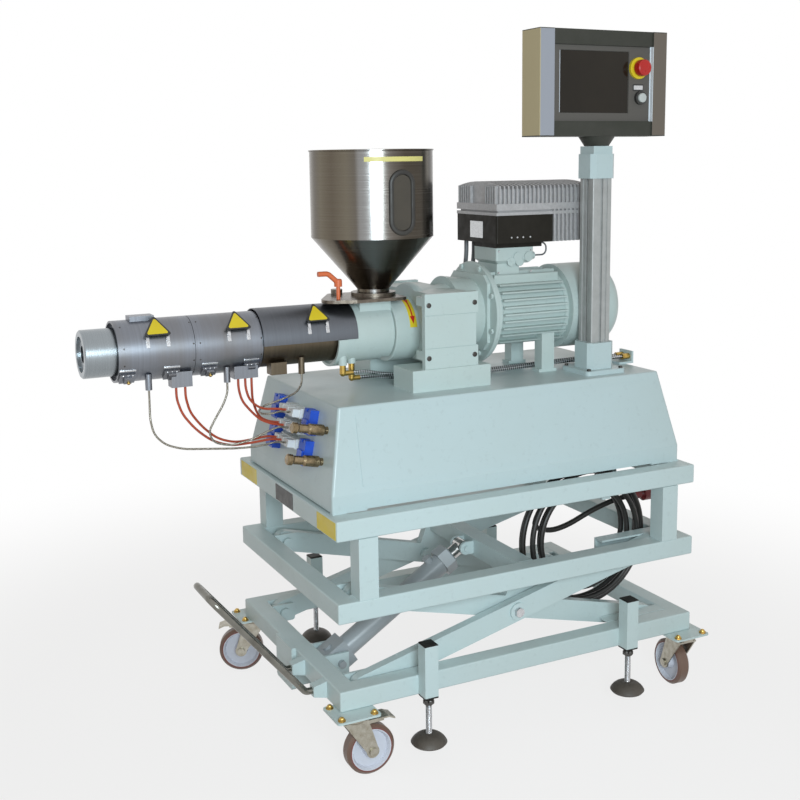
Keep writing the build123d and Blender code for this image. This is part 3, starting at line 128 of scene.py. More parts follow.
def studio_floor():
    """A pale disc that keeps the object's shadow near it and runs out into the white backdrop."""
    sides, reach = 96, 40
    turn = np.linspace(0, 2 * np.pi, sides + 1)[:-1]
    rim = np.column_stack((reach * np.cos(turn), reach * np.sin(turn), np.zeros(sides)))
    sheet = bpy.data.meshes.new("studio_floor")
    sheet.from_pydata(rim.tolist(), [], [list(range(sides))])
    floor = bpy.data.objects.new("studio_floor", sheet)
    bpy.context.scene.collection.objects.link(floor)
    paper = bpy.data.materials.new("studio_paper")
    paper.use_nodes = True
    tree = paper.node_tree
    matt = tree.nodes["Principled BSDF"]
    matt.inputs["Base Color"].default_value = (0.50, 0.49, 0.48, 1)
    matt.inputs["Roughness"].default_value = 0.9
    glow = wire(paper, "ShaderNodeEmission", {"Color": (1, 1, 1, 1), "Strength": 1.0})
    rays = wire(paper, "ShaderNodeLightPath")
    seen = wire(paper, "ShaderNodeMath", {0: rays.outputs["Is Camera Ray"], 1: rays.outputs["Is Glossy Ray"]},
                operation="MAXIMUM")
    place = wire(paper, "ShaderNodeTexCoord")
    far = wire(paper, "ShaderNodeVectorMath", {0: place.outputs["Object"]}, operation="LENGTH")
    fade = wire(paper, "ShaderNodeMapRange", {"Value": far.outputs["Value"], "From Min": 1.0, "From Max": 2.6,
                                              "To Min": 0.80, "To Max": 1.0}, interpolation_type="SMOOTHSTEP")
    share = wire(paper, "ShaderNodeMath", {0: seen.outputs[0], 1: fade.outputs[0]}, operation="MULTIPLY")
    pick = wire(paper, "ShaderNodeMixShader", {0: share.outputs[0], 1: matt.outputs[0], 2: glow.outputs[0]})
    tree.links.new(pick.outputs[0], tree.nodes["Material Output"].inputs["Surface"])
    sheet.materials.append(paper)


bpy.context.scene.view_settings.view_transform = "Standard"
photo_camera()
studio_air()
studio_floor()
soft_lamp("key_box", (-1.0, -3.5, 1.65), (0, 0, 0.9), 1.3, 98, (0.79, 0.93, 1.0))


def metres(points):
    """Millimetres with x from the trolley's middle, carried to metres in the model's frame."""
    return (np.asarray(points, float) + (trolley_x, 0.0, 0.0)) / 1000.0


# The power cable.
coil_middle, coil_radius, cable_across = (272.0, -184.0, 432.0), 166.0, 15.0
turn_points, turns_in_coil, places_in_bundle = 24, 5.2, 6
first_angle, first_seat = 92, 73
bundle_radius, bundle_sag = 25.0, 6.0


def coil_turns():
    """Round and round the hook: the angle runs on for every turn while the cable's place in the bundle steps
    a sixth of the way round it, so that turns lie beside each other. The bundle loosens at the bottom."""
    count = int(turn_points * turns_in_coil)
    swept = np.arange(count) / turn_points
    angle = np.radians(first_angle) + 2 * np.pi * swept
    seat = np.radians(first_seat) - 2 * np.pi * swept / places_in_bundle
    loose = bundle_radius + bundle_sag * (1 - np.sin(angle)) / 2 + 0.8 * np.sin(2.6 * swept + 1.0)
    reach = coil_radius + loose * np.cos(seat) + 1.2 * np.sin(1.7 * swept)
    return np.column_stack((coil_middle[0] + reach * np.cos(angle), coil_middle[1] + loose * np.sin(seat),
                            coil_middle[2] + reach * np.sin(angle)))


cable_exit = (338.0, -168.0, 636.0)
cable_down = [cable_exit, (322.0, -168.0, 626.0), (300.0, -168.0, 614.0), (286.0, -168.0, 607.0)]
cable_tail = [(126, -160, 474), (160, -146, 452), (206, -140, 440), (262, -139, 450), (316, -140, 472),
              (372, -142, 490), (432, -145, 504), (478, -145, 504)]


# Shapes from arrays.
def quads(rows, columns):
    """Four-sided faces between neighbouring rows and columns of a grid whose last column meets the first."""
    row = np.arange(rows - 1)[:, None] * columns
    here = np.arange(columns)[None, :]
    there = (here + 1) % columns
    return np.stack((row + here, row + there, row + columns + there, row + columns + here), -1).reshape(-1, 4)


def capped(grid):
    """A stack of closed rings made one closed shape: quads between rings and one flat face at each end."""
    rows, columns = grid.shape[:2]
    ends = np.arange(columns)[None]
    return grid.reshape(-1, 3), [quads(rows, columns), ends[:, ::-1], ends + (rows - 1) * columns]


def looped(grid):
    """Rings of points with the last ring joined to the first, so the shape has no end."""
    here = np.arange(grid.shape[0] * grid.shape[1]).reshape(grid.shape[:2])
    there = np.roll(here, -1, 1)
    faces = np.stack((here, there, np.roll(there, -1, 0), np.roll(here, -1, 0)), -1).reshape(-1, 4)
    return grid.reshape(-1, 3), [faces]


def turned(rows, sides=24):
    """Rings of (radius, height, six-sidedness) about z: a ring's radius is divided by the cosine of the angle
    from the nearest of six flats as far as it is six-sided."""
    radius, height, sixness = np.array([(*row, 0.0)[:3] for row in rows], float).T[:, :, None]
    turn = np.arange(sides) * 2 * np.pi / sides
    flats = 1 / np.cos((turn + np.pi / 6) % (np.pi / 3) - np.pi / 6) - 1
    reach = radius * (1 + sixness * flats)
    return capped(np.stack((reach * np.cos(turn), reach * np.sin(turn), height + 0 * turn), -1))


def turned_ring(rows, sides=64):
    """A closed section of (radius, height) points turned about z."""
    radius, height = np.array(rows, float).T[:, :, None]
    turn = np.arange(sides) * 2 * np.pi / sides
    return looped(np.stack((radius * np.cos(turn), radius * np.sin(turn), height + 0 * turn), -1))


def rounded(width, height, corner, steps=4):
    """A rectangle's outline with quarter-circle corners, counter-clockwise."""
    sweep = np.linspace(0, np.pi / 2, steps + 1)
    turn = (sweep[None] + np.arange(4)[:, None] * np.pi / 2).ravel()
    side = np.sign(np.array(((1, 1), (-1, 1), (-1, -1), (1, -1)))).repeat(steps + 1, 0)
    middle = side * (width / 2 - corner, height / 2 - corner)
    return middle + corner * np.column_stack((np.cos(turn), np.sin(turn)))


def plate(outline, low, high, edge=0.0):
    """An outline carried from low to high along z, its top ring drawn in by edge at every corner's mitre."""
    outline = np.asarray(outline, float)
    ahead = np.roll(outline, -1, 0) - outline
    ahead /= np.linalg.norm(ahead, axis=1)[:, None]
    out = np.column_stack((ahead[:, 1], -ahead[:, 0]))
    back = np.roll(out, 1, 0)
    mitre = (out + back) / (1 + (out * back).sum(1))[:, None]
    levels = [(low, 0.0), (high - edge, 0.0), (high, edge)] if edge else [(low, 0.0), (high, 0.0)]
    return capped(np.stack([np.column_stack((outline - mitre * inset, np.full(len(outline), z)))
                            for z, inset in levels]))


def thread(radius, depth, pitch, low, high, sides=20, steps=6):
    """A screw thread about z: the radius is a triangle wave of the height over the pitch, less the turn."""
    height = np.linspace(low, high, int((high - low) / pitch * steps) + 1)[:, None]
    turn = (np.arange(sides) * 2 * np.pi / sides)[None]
    wave = np.abs(((height / pitch - turn / (2 * np.pi)) % 1.0) * 2 - 1)
    reach = radius - depth * wave
    return capped(np.stack((reach * np.cos(turn), reach * np.sin(turn), height + 0 * turn), -1))


def seated(shape, at, normal=(0, 0, 1), across=(1, 0, 0)):
    """The shape copied to each place in at, its z along normal and its x along across squared up to that."""
    points, faces = shape
    at = np.atleast_2d(np.asarray(at, float))
    normal = np.broadcast_to(np.asarray(normal, float), at.shape)
    normal = normal / np.linalg.norm(normal, axis=1)[:, None]
    across = np.broadcast_to(np.asarray(across, float), at.shape)
    across = across - (across * normal).sum(1)[:, None] * normal
    across = across / np.linalg.norm(across, axis=1)[:, None]
    axes = np.stack((across, np.cross(normal, across), normal), 1)
    moved = at[:, None] + points[None] @ axes
    start = (np.arange(len(at)) * len(points))[:, None, None]
    return moved.reshape(-1, 3), [(face[None] + start).reshape(-1, face.shape[1]) for face in faces]


def joined(*shapes):
    """Several shapes as one."""
    starts = np.cumsum([0] + [len(points) for points, _ in shapes])
    faces = [face + start for (_, group), start in zip(shapes, starts) for face in group]
    return np.concatenate([points for points, _ in shapes]), faces


def piece(name, shape, coat, body, sharp=32):
    """The shape's arrays made a mesh in metres, shaded smooth up to sharp degrees, riding on a body."""
    points, faces = shape
    mesh = bpy.data.meshes.new(name)
    mesh.from_pydata(metres(points).tolist(), [], [face for group in faces for face in group.tolist()])
    mesh.polygons.foreach_set("use_smooth", np.ones(len(mesh.polygons), bool))
    mesh.set_sharp_from_angle(angle=math.radians(sharp))
    mesh.materials.append(coat)
    made = bpy.data.objects.new(name, mesh)
    bpy.context.scene.collection.objects.link(made)
    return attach(made, body)


def bolt_head(across, height, socket):
    """A round cap screw's head with a rounded rim and a six-sided socket, standing on z = 0."""
    r = across / 2
    return turned([(r, 0), (r, height * 0.8), (r * 0.86, height), (socket * 1.12, height),
                   (socket, height, 1), (socket, height * 0.4, 1)], 18)


def hex_head(across, height):
    """A six-sided head or nut across its flats, with a chamfered crown, standing on z = 0."""
    r = across / 2
    return turned([(r, 0, 1), (r, height * 0.82, 1), (r * 0.98, height, 0.2)], 24)


def dome_nut(across, height):
    """A cap nut: a six-sided skirt that runs up into a round dome, on a thin washer."""
    r = across / 2
    lift = np.sin(np.linspace(0, np.pi / 2, 6)[:-1])
    dome = [(r * 0.88 * math.cos(math.asin(t)), height * (0.45 + 0.55 * t), 0) for t in lift]
    return turned([(r * 1.25, 0), (r * 1.25, 1.4), (r, 1.4, 1), (r, height * 0.42, 1)] + dome, 24)


def pan_head(across, height):
    """A small domed screw head: its radius falls as a quarter circle."""
    lift = np.linspace(0, 1, 5)[:-1]
    return turned([(across / 2 * math.sqrt(1 - t * t), height * t) for t in lift], 14)


# Finishes.
def finish(name, color, roughness, metallic=0.0, **more):
    """A fresh finish with its plain values set on the shader's own sockets."""
    made = bpy.data.materials.new(name)
    made.use_nodes = True
    shader = made.node_tree.nodes["Principled BSDF"]
    shader.inputs["Base Color"].default_value = (*color, 1)
    shader.inputs["Roughness"].default_value = roughness
    shader.inputs["Metallic"].default_value = metallic
    for key, value in more.items():
        shader.inputs[key.replace("_", " ")].default_value = value
    return made


def place_on(made, middle=(0, 0, 0), stretch=(1, 1, 1)):
    """Object coordinates in metres about middle, stretched per axis."""
    seat = wire(made, "ShaderNodeTexCoord").outputs["Object"]
    offset = [-m * s for m, s in zip(middle, stretch)]
    return wire(made, "ShaderNodeMapping", {"Vector": seat, "Location": offset, "Scale": stretch}).outputs[0]


def grain(made, where, scale, detail=3.0, rough=0.5):
    """Cloudy noise, 0 to 1."""
    return wire(made, "ShaderNodeTexNoise", {"Vector": where, "Scale": scale, "Detail": detail,
                                             "Roughness": rough}).outputs["Fac"]


def stops(made, factor, *pairs):
    """A colour ramp through (place, colour) pairs."""
    ramp = wire(made, "ShaderNodeValToRGB", {"Fac": factor})
    line = ramp.color_ramp
    line.elements[0].position, line.elements[-1].position = pairs[0][0], pairs[-1][0]
    line.elements[0].color, line.elements[-1].color = (*pairs[0][1], 1), (*pairs[-1][1], 1)
    for at, color in pairs[1:-1]:
        line.elements.new(at).color = (*color, 1)
    return ramp.outputs["Color"]


def spread(made, value, low, high, to_low, to_high):
    """Carries low..high to to_low..to_high, clamped."""
    return wire(made, "ShaderNodeMapRange", {"Value": value, "From Min": low, "From Max": high,
                                             "To Min": to_low, "To Max": to_high}).outputs[0]


def blend_of(made, factor, first, second, how="MIX"):
    """Two colours mixed by factor."""
    mix = wire(made, "ShaderNodeMix", {}, data_type="RGBA", blend_type=how)
    for index, value in ((0, factor), (6, first), (7, second)):
        if isinstance(value, bpy.types.NodeSocket):
            made.node_tree.links.new(value, mix.inputs[index])
        elif index == 0:
            mix.inputs[0].default_value = value
        else:
            mix.inputs[index].default_value = (*value, 1)
    return mix.outputs[2]


def give(made, **sockets):
    """Joins sockets of the shader to what feeds them."""
    shader = made.node_tree.nodes["Principled BSDF"]
    for key, value in sockets.items():
        made.node_tree.links.new(value, shader.inputs[key.replace("_", " ")])


def bumps(made, *layers):
    """Heights laid over each other as (height, distance in metres, strength)."""
    under = None
    for height, distance, strength in layers:
        sockets = {"Height": height, "Distance": distance, "Strength": strength}
        if under is not None:
            sockets["Normal"] = under
        under = wire(made, "ShaderNodeBump", sockets).outputs[0]
    give(made, Normal=under)


def enamel(name, color, tint, roughness=0.36):
    """Sprayed enamel: two tints in slow clouds, an orange-peel skin and a gloss that changes in patches."""
    made = finish(name, color, roughness, Specular_IOR_Level=0.5)
    seat = place_on(made)
    slow = grain(made, seat, 2.3, 4, 0.6)
    fine = grain(made, seat, 70, 4, 0.6)
    soil = blend_of(made, spread(made, slow, 0.35, 0.72, 0, 1), color, tint)
    speck = spread(made, fine, 0.30, 0.42, 0.94, 1.0)
    give(made, Base_Color=blend_of(made, 1.0, soil, speck, "MULTIPLY"))
    give(made, Roughness=spread(made, grain(made, seat, 9, 3), 0.3, 0.7, roughness - 0.05, roughness + 0.12))
    bumps(made, (grain(made, seat, 420, 2), 0.0006, 0.10), (grain(made, seat, 28, 2), 0.001, 0.05))
    return made


axis_mid = (trolley_x / 1000, 0, barrel_z / 1000)


def turned_steel(name, color, dark, roughness=0.3, pitch=900, stain=None):
    """Metal brushed round the barrel's axis: fine rings along it, wider ones below, and clouds of stain."""
    made = finish(name, color, roughness, 1.0)
    along = (pitch, 3, 3)
    rings = grain(made, place_on(made, axis_mid, along), 1.0, 2, 0.6)
    wide = grain(made, place_on(made, axis_mid, tuple(a * 0.12 for a in along)), 1.0, 3, 0.6)
    tone = blend_of(made, spread(made, wide, 0.3, 0.7, 0, 1), dark, color)
    tone = blend_of(made, spread(made, rings, 0.35, 0.65, 0, 0.5), tone, color)
    if stain is not None:
        slow = grain(made, place_on(made, axis_mid, (7, 1.5, 1.5)), 2.0, 4, 0.55)
        tone = blend_of(made, spread(made, slow, 0.42, 0.68, 0, 0.75), tone, stain)
    give(made, Base_Color=tone, Roughness=spread(made, rings, 0.3, 0.7, roughness - 0.06, roughness + 0.1))
    bumps(made, (rings, 0.0002, 0.12))
    return made


def milled(name, color, dark, roughness=0.35, metallic=1.0, scale=60.0):
    """Bare metal with a sanded grain in no one direction and slight tarnish."""
    made = finish(name, color, roughness, metallic)
    seat = place_on(made)
    cloud = grain(made, seat, scale, 4, 0.6)
    tone = blend_of(made, spread(made, cloud, 0.35, 0.7, 0, 1), color, dark)
    give(made, Base_Color=tone, Roughness=spread(made, grain(made, seat, scale * 4, 2), 0.3, 0.7,
                                                 roughness - 0.07, roughness + 0.12))
    bumps(made, (grain(made, seat, scale * 12, 2), 0.0002, 0.15))
    return made


def moulded(name, color, tint, roughness=0.45, grainy=300.0, strength=0.12, **more):
    """Moulded plastic or rubber: a spark-eroded grain, slow tint and dusty bloom."""
    made = finish(name, color, roughness, 0.0, **more)
    seat = place_on(made)
    cloud = grain(made, seat, 14, 4, 0.6)
    give(made, Base_Color=blend_of(made, spread(made, cloud, 0.38, 0.72, 0, 1), color, tint),
         Roughness=spread(made, grain(made, seat, 40, 3), 0.3, 0.7, roughness - 0.06, roughness + 0.12))
    bumps(made, (grain(made, seat, grainy, 2), 0.0005, strength))
    return made


frame_enamel = enamel("frame_enamel", (0.56, 0.665, 0.67), (0.54, 0.625, 0.615))
housing_enamel = enamel("housing_enamel", (0.52, 0.625, 0.64), (0.50, 0.59, 0.59), 0.33)
machine_enamel = enamel("machine_enamel", (0.54, 0.64, 0.63), (0.50, 0.57, 0.54), 0.34)
cylinder_enamel = enamel("cylinder_enamel", (0.40, 0.43, 0.45), (0.33, 0.34, 0.35), 0.3)
cover_steel = turned_steel("cover_steel", (0.235, 0.25, 0.28), (0.185, 0.195, 0.22), 0.34, 1500,
                           (0.19, 0.185, 0.185))
shield_steel = turned_steel("shield_steel", (0.14, 0.148, 0.165), (0.115, 0.122, 0.136), 0.38, 1600)
nose_steel = turned_steel("nose_steel", (0.32, 0.35, 0.37), (0.26, 0.285, 0.30), 0.26, 1500)
stained_band = turned_steel("stained_band", (0.15, 0.12, 0.085), (0.10, 0.082, 0.058), 0.4, 900,
                            (0.12, 0.09, 0.06))
gate_steel = milled("gate_steel", (0.20, 0.17, 0.14), (0.10, 0.085, 0.07), 0.3)
fork_zinc = milled("fork_zinc", (0.46, 0.44, 0.38), (0.30, 0.27, 0.21), 0.38)
chrome = milled("chrome", (0.55, 0.55, 0.54), (0.42, 0.41, 0.40), 0.16, 1.0, 20)
worn_chrome = milled("worn_chrome", (0.24, 0.235, 0.21), (0.12, 0.115, 0.10), 0.2, 1.0, 12)
cast_aluminium = milled("cast_aluminium", (0.44, 0.43, 0.435), (0.37, 0.36, 0.36), 0.5, 0.4, 90)
post_anodised = milled("post_anodised", (0.42, 0.42, 0.41), (0.37, 0.37, 0.36), 0.4, 0.25, 40)
black_cap = moulded("black_cap", (0.008, 0.007, 0.006), (0.014, 0.012, 0.010), 0.5, Specular_IOR_Level=0.2)
foot_rubber = moulded("foot_rubber", (0.055, 0.045, 0.036), (0.09, 0.075, 0.06), 0.5)
inverter_black = moulded("inverter_black", (0.010, 0.008, 0.005), (0.018, 0.015, 0.011), 0.5,
                         Specular_IOR_Level=0.2)
lever_orange = moulded("lever_orange", (0.72, 0.16, 0.055), (0.60, 0.12, 0.04), 0.35)
stop_red = moulded("stop_red", (0.55, 0.015, 0.01), (0.45, 0.01, 0.008), 0.28)
push_clear = moulded("push_clear", (0.60, 0.62, 0.60), (0.50, 0.52, 0.50), 0.2)


def hopper_sheet_painted_reflections():
    """Polished stainless: bright and dark bands of painted reflection stand round the drum, a grey band and a
    thin line among them are painted highlights, and fine scratches run round it.
    """
    made = finish("hopper_sheet_painted_reflections", (0.12, 0.10, 0.08), 0.16, 1.0)
    middle = ((hopper_middle[0] + trolley_x) / 1000, 0, 0)
    seat = place_on(made, middle)
    parts = wire(made, "ShaderNodeSeparateXYZ", {"Vector": seat})
    turn = wire(made, "ShaderNodeMath", {0: parts.outputs["Y"], 1: parts.outputs["X"]}, operation="ARCTAN2")
    share = spread(made, turn.outputs[0], -math.pi, math.pi, 0.0, 1.0)
    sway = grain(made, place_on(made, middle, (9, 9, 1.2)), 1.0, 3)
    share = wire(made, "ShaderNodeMath", {0: share, 1: spread(made, sway, 0.3, 0.7, -0.006, 0.006)})
    # Painted reflections by angle round the drum: the dark and bright bands stand in for what the polished
    # sheet reflects, and the grey band from 0.150 to 0.185 and the light line at 0.352 are painted
    # highlights.
    drum = stops(made, share.outputs[0], (0.0, (0.10, 0.085, 0.065)), (0.03, (0.15, 0.13, 0.095)),
                 (0.07, (0.115, 0.095, 0.07)), (0.115, (0.16, 0.14, 0.105)), (0.14, (0.13, 0.115, 0.095)),
                 (0.150, (0.24, 0.235, 0.23)), (0.185, (0.24, 0.235, 0.23)), (0.194, (0.21, 0.20, 0.19)),
                 (0.225, (0.14, 0.125, 0.11)), (0.27, (0.065, 0.055, 0.042)), (0.34, (0.045, 0.038, 0.028)),
                 (0.352, (0.12, 0.11, 0.09)), (0.364, (0.04, 0.034, 0.025)), (0.60, (0.10, 0.085, 0.065)),
                 (0.80, (0.20, 0.175, 0.14)), (1.0, (0.10, 0.085, 0.065)))
    rings = grain(made, place_on(made, middle, (4, 4, 900)), 1.0, 2, 0.6)
    tone = blend_of(made, spread(made, rings, 0.35, 0.65, 0, 0.12), drum, (0.30, 0.28, 0.26))
    give(made, Base_Color=tone, Roughness=spread(made, rings, 0.3, 0.7, 0.16, 0.28))
    bumps(made, (rings, 0.0001, 0.06))
    return made


hopper_steel_painted_reflections = hopper_sheet_painted_reflections()

# More finishes.
yellow_plate = moulded("yellow_plate", (0.78, 0.60, 0.02), (0.72, 0.54, 0.02), 0.36, 200, 0.04)
pale_yellow = moulded("pale_yellow", (0.74, 0.66, 0.22), (0.68, 0.60, 0.20), 0.4, 200, 0.04)
black_plate = moulded("black_plate", (0.02, 0.02, 0.02), (0.03, 0.028, 0.024), 0.4)
arrow_red = moulded("arrow_red", (0.55, 0.01, 0.008), (0.50, 0.012, 0.01), 0.36, 200, 0.04)
silver_plate = milled("silver_plate", (0.62, 0.63, 0.64), (0.52, 0.53, 0.54), 0.3, 0.9, 120)
bright_zinc = milled("bright_zinc", (0.66, 0.67, 0.69), (0.50, 0.50, 0.51), 0.24, 1.0, 90)
bare_grey = moulded("bare_grey", (0.40, 0.36, 0.37), (0.34, 0.31, 0.31), 0.42, 200, 0.04)
gold_zinc = milled("gold_zinc", (0.62, 0.42, 0.13), (0.40, 0.25, 0.07), 0.28, 1.0, 120)
dark_steel = milled("dark_steel", (0.10, 0.095, 0.09), (0.06, 0.055, 0.05), 0.35, 0.9, 90)
socket_blue = moulded("socket_blue", (0.016, 0.085, 0.56), (0.012, 0.06, 0.42), 0.32, 240, 0.08)
plug_white = moulded("plug_white", (0.72, 0.745, 0.75), (0.64, 0.66, 0.66), 0.38, 260, 0.08)
plug_bronze = milled("plug_bronze", (0.34, 0.26, 0.16), (0.16, 0.12, 0.07), 0.26, 1.0, 70)
fitting_brass = milled("fitting_brass", (0.55, 0.37, 0.10), (0.34, 0.22, 0.06), 0.3, 1.0, 80)
lead_red = moulded("lead_red", (0.44, 0.062, 0.02), (0.36, 0.05, 0.02), 0.42, 500, 0.08)
plug_red = moulded("plug_red", (0.20, 0.012, 0.016), (0.15, 0.012, 0.014), 0.36)
conduit_grey = moulded("conduit_grey", (0.17, 0.17, 0.18), (0.13, 0.13, 0.135), 0.45)
gasket_black = moulded("gasket_black", (0.018, 0.016, 0.014), (0.03, 0.027, 0.022), 0.5)
cable_jacket = moulded("cable_jacket", (0.010, 0.009, 0.008), (0.018, 0.015, 0.012), 0.42, 400, 0.08)
sight_glass = moulded("sight_glass", (0.055, 0.045, 0.032), (0.04, 0.034, 0.024), 0.14)


def dark_glass():
    """The screen's pane: two near-black tints in slow clouds, and a finer smear in its gloss."""
    made = finish("screen_glass", (0.012, 0.010, 0.007), 0.12, 0.0, Specular_IOR_Level=0.25)
    seat = place_on(made)
    cloud = spread(made, grain(made, seat, 6.0, 3), 0.3, 0.7, 0, 1)
    smear = spread(made, grain(made, seat, 30.0, 2), 0.3, 0.7, 0.06, 0.16)
    tone = blend_of(made, cloud, (0.014, 0.010, 0.006), (0.022, 0.016, 0.010))
    give(made, Base_Color=tone, Roughness=smear)
    return made


screen_glass = dark_glass()


def braid(name, light, dark, pitch, roughness=0.3):
    """Woven steel wire: two crossed saw waves along the piece's own x and the section give light and dark
    diamonds with the gaps between strands set back."""
    made = finish(name, light, roughness, 0.9)
    seat = place_on(made)
    parts = wire(made, "ShaderNodeSeparateXYZ", {"Vector": seat})
    height = wire(made, "ShaderNodeMath", {0: parts.outputs["Z"], 1: parts.outputs["Y"]}, operation="ADD")
    waves = []
    for lean in (1.0, -1.0):
        sloped = wire(made, "ShaderNodeMath", {0: height.outputs[0], 1: lean, 2: parts.outputs["X"]},
                      operation="MULTIPLY_ADD")
        turns = wire(made, "ShaderNodeMath", {0: sloped.outputs[0], 1: 2 * math.pi / pitch},
                     operation="MULTIPLY")
        waves.append(wire(made, "ShaderNodeMath", {0: turns.outputs[0]}, operation="SINE").outputs[0])
    product = wire(made, "ShaderNodeMath", {0: waves[0], 1: waves[1]}, operation="MULTIPLY").outputs[0]
    weave = spread(made, product, -0.35, 0.35, 0, 1)
    give(made, Base_Color=blend_of(made, weave, dark, light))
    bumps(made, (weave, 0.0008, 0.5))
    return made


hose_braid = braid("hose_braid", (0.62, 0.64, 0.66), (0.05, 0.05, 0.05), 0.013)
lead_braid = braid("lead_braid", (0.42, 0.39, 0.33), (0.07, 0.06, 0.045), 0.006)


def castor_rubber(corner):
    """The wheel's two materials by distance from its axle: pale nylon inside, brown-red tread outside."""
    low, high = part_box(f"castor_wheel_{corner}")
    middle = (low + high) / 2
    made = moulded(f"wheel_{corner}", (0.62, 0.63, 0.70), (0.52, 0.52, 0.57), 0.34)
    far = wire(made, "ShaderNodeVectorMath", {0: place_on(made, tuple(middle))}, operation="LENGTH")
    rim = stops(made, spread(made, far.outputs["Value"], 0.045, 0.070, 0, 1), (0.0, (0.62, 0.63, 0.70)),
                (0.36, (0.66, 0.67, 0.73)), (0.40, (0.20, 0.035, 0.03)), (0.50, (0.15, 0.075, 0.055)),
                (1.0, (0.20, 0.14, 0.10)))
    give(made, Base_Color=rim)
    return made


corners = {"near_left": (-1, -1), "far_left": (-1, 1), "near_right": (1, -1), "far_right": (1, 1)}
wheel_coats = {corner: castor_rubber(corner) for corner in corners}


def zone(made, place, low, high):
    """1 where the place lies between two corners (millimetres from the trolley's middle), else 0."""
    low, high = metres((low, high))
    parts = wire(made, "ShaderNodeSeparateXYZ", {"Vector": place})
    share = 1.0
    for axis, least, most in zip("XYZ", low, high):
        near = wire(made, "ShaderNodeMath", {0: parts.outputs[axis], 1: (least + most) / 2,
                                             2: (most - least) / 2}, operation="COMPARE").outputs[0]
        share = wire(made, "ShaderNodeMath", {0: near, 1: share}, operation="MULTIPLY").outputs[0]
    return share


def panel_paint():
    """The control panel's parts by place: dark bands, grey front, anodised strips, and two narrow bevels
    coloured bright as painted highlights.
    """
    made = finish("panel_coat", (0.045, 0.045, 0.038), 0.5, Specular_IOR_Level=0.22)
    seat = place_on(made)
    cloud = spread(made, grain(made, seat, 18, 4, 0.6), 0.3, 0.7, 0, 1)
    tone = blend_of(made, cloud, (0.042, 0.043, 0.034), (0.055, 0.053, 0.045))
    # The last two areas are painted highlights: two narrow bevels on the front are made bright in colour for
    # the light they catch.
    areas = ((160, 470, 1544, 1734, (0.115, 0.105, 0.095)), (118, 160, 1507.5, 1771, (0.36, 0.365, 0.41)),
             (100, 118, 1507.5, 1771, (0.55, 0.46, 0.28)), (471.5, 520, 1507.5, 1771, (0.17, 0.14, 0.115)),
             (467.5, 471.5, 1543, 1735, (0.75, 0.78, 0.82)), (182, 185.5, 1566, 1720, (0.55, 0.57, 0.62)))
    for left, right, bottom, top, color in areas:
        share = zone(made, seat, (left, -400, bottom), (right, 400, top))
        tone = blend_of(made, share, tone, color)
    give(made, Base_Color=tone)
    bumps(made, (grain(made, seat, 500, 2), 0.0003, 0.08))
    return made


panel_coat = panel_paint()

dress = {
    frame_enamel: ("base_frame", "leg_tubes", "upper_frame", "outer_arms", "inner_arm_frame",
                   "cylinder_anchor", "cable_hook"),
    housing_enamel: ("enclosure", "cover_panel", "post_fittings"),
    machine_enamel: ("gearbox", "motor_flange", "motor_body", "fan_cowl", "terminal_box", "feed_housing"),
    panel_coat: ("panel_housing",),
    cylinder_enamel: ("lift_cylinder",),
    cover_steel: ("heater_covers",),
    shield_steel: ("rear_heat_shield",),
    nose_steel: ("barrel",),
    stained_band: ("rear_heater_band",),
    hopper_steel_painted_reflections: ("hopper", "hopper_lid"),
    gate_steel: ("slide_gate",),
    fork_zinc: tuple(n for n in nodes if n.startswith(("castor_fork", "brake_pedal"))),
    foot_rubber: tuple(n for n in nodes if n.startswith("levelling_foot")),
    chrome: ("piston_rod",),
    worn_chrome: ("tow_handle",),
    black_cap: ("leg_caps",),
    inverter_black: ("inverter_base",),
    cast_aluminium: ("inverter_heat_sink",),
    post_anodised: ("panel_post",),
    lever_orange: ("clamp_lever",),
    stop_red: ("e_stop_button",),
    push_clear: ("push_button",),
    socket_blue: ("heater_sockets",),
    plug_white: ("heater_plugs",),
    plug_bronze: ("sensor_plugs",),
    fitting_brass: ("water_fittings",),
    lead_red: ("heater_leads",),
    lead_braid: ("thermocouple_leads",),
    hose_braid: ("cooling_hoses",),
    conduit_grey: ("inverter_conduits",),
    plug_red: ("power_plug",),
}
dress.update({coat: (f"castor_wheel_{corner}",) for corner, coat in wheel_coats.items()})
for coat, wearers in dress.items():
    for wearer in wearers:
        shape = nodes[wearer].data
        shape.materials.clear()
        shape.materials.append(coat)


# The power cable, hung in a coil.
def power_cable():
    """One round spline from the enclosure's underside, round the hook and across to the plug."""
    path = metres(np.concatenate((np.array(cable_down, float), coil_turns(), np.array(cable_tail, float))))
    line = bpy.data.curves.new("power_cable", "CURVE")
    line.dimensions = "3D"
    run = line.splines.new("NURBS")
    run.points.add(len(path) - 1)
    run.points.foreach_set("co", np.column_stack((path, np.ones(len(path)))).ravel())
    run.order_u = 3
    run.use_endpoint_u = True
    line.resolution_u = 4
    line.bevel_depth = cable_across / 2000
    line.bevel_resolution = 3
    line.use_fill_caps = True
    line.materials.append(cable_jacket)
    cable = bpy.data.objects.new("power_cable", line)
    bpy.context.scene.collection.objects.link(cable)
    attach(cable, "platform")
    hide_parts("power_cable_coil", "power_cable_tail")
    return cable


power_cable()


# Trolley.
outer_face = -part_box("outer_arms")[0].y * 1000 - 3


def castor_details():
    """Gold cap nuts on the corners of each castor plate that the frame tubes leave free."""
    for corner, (sx, sy) in corners.items():
        reach = np.array(((538, 304, 165), (538, 376, 165), (454, 376, 165)), float) * (sx, sy, 1)
        piece(f"castor_nuts_{corner}", seated(dome_nut(15, 10.5), reach), gold_zinc, "base")


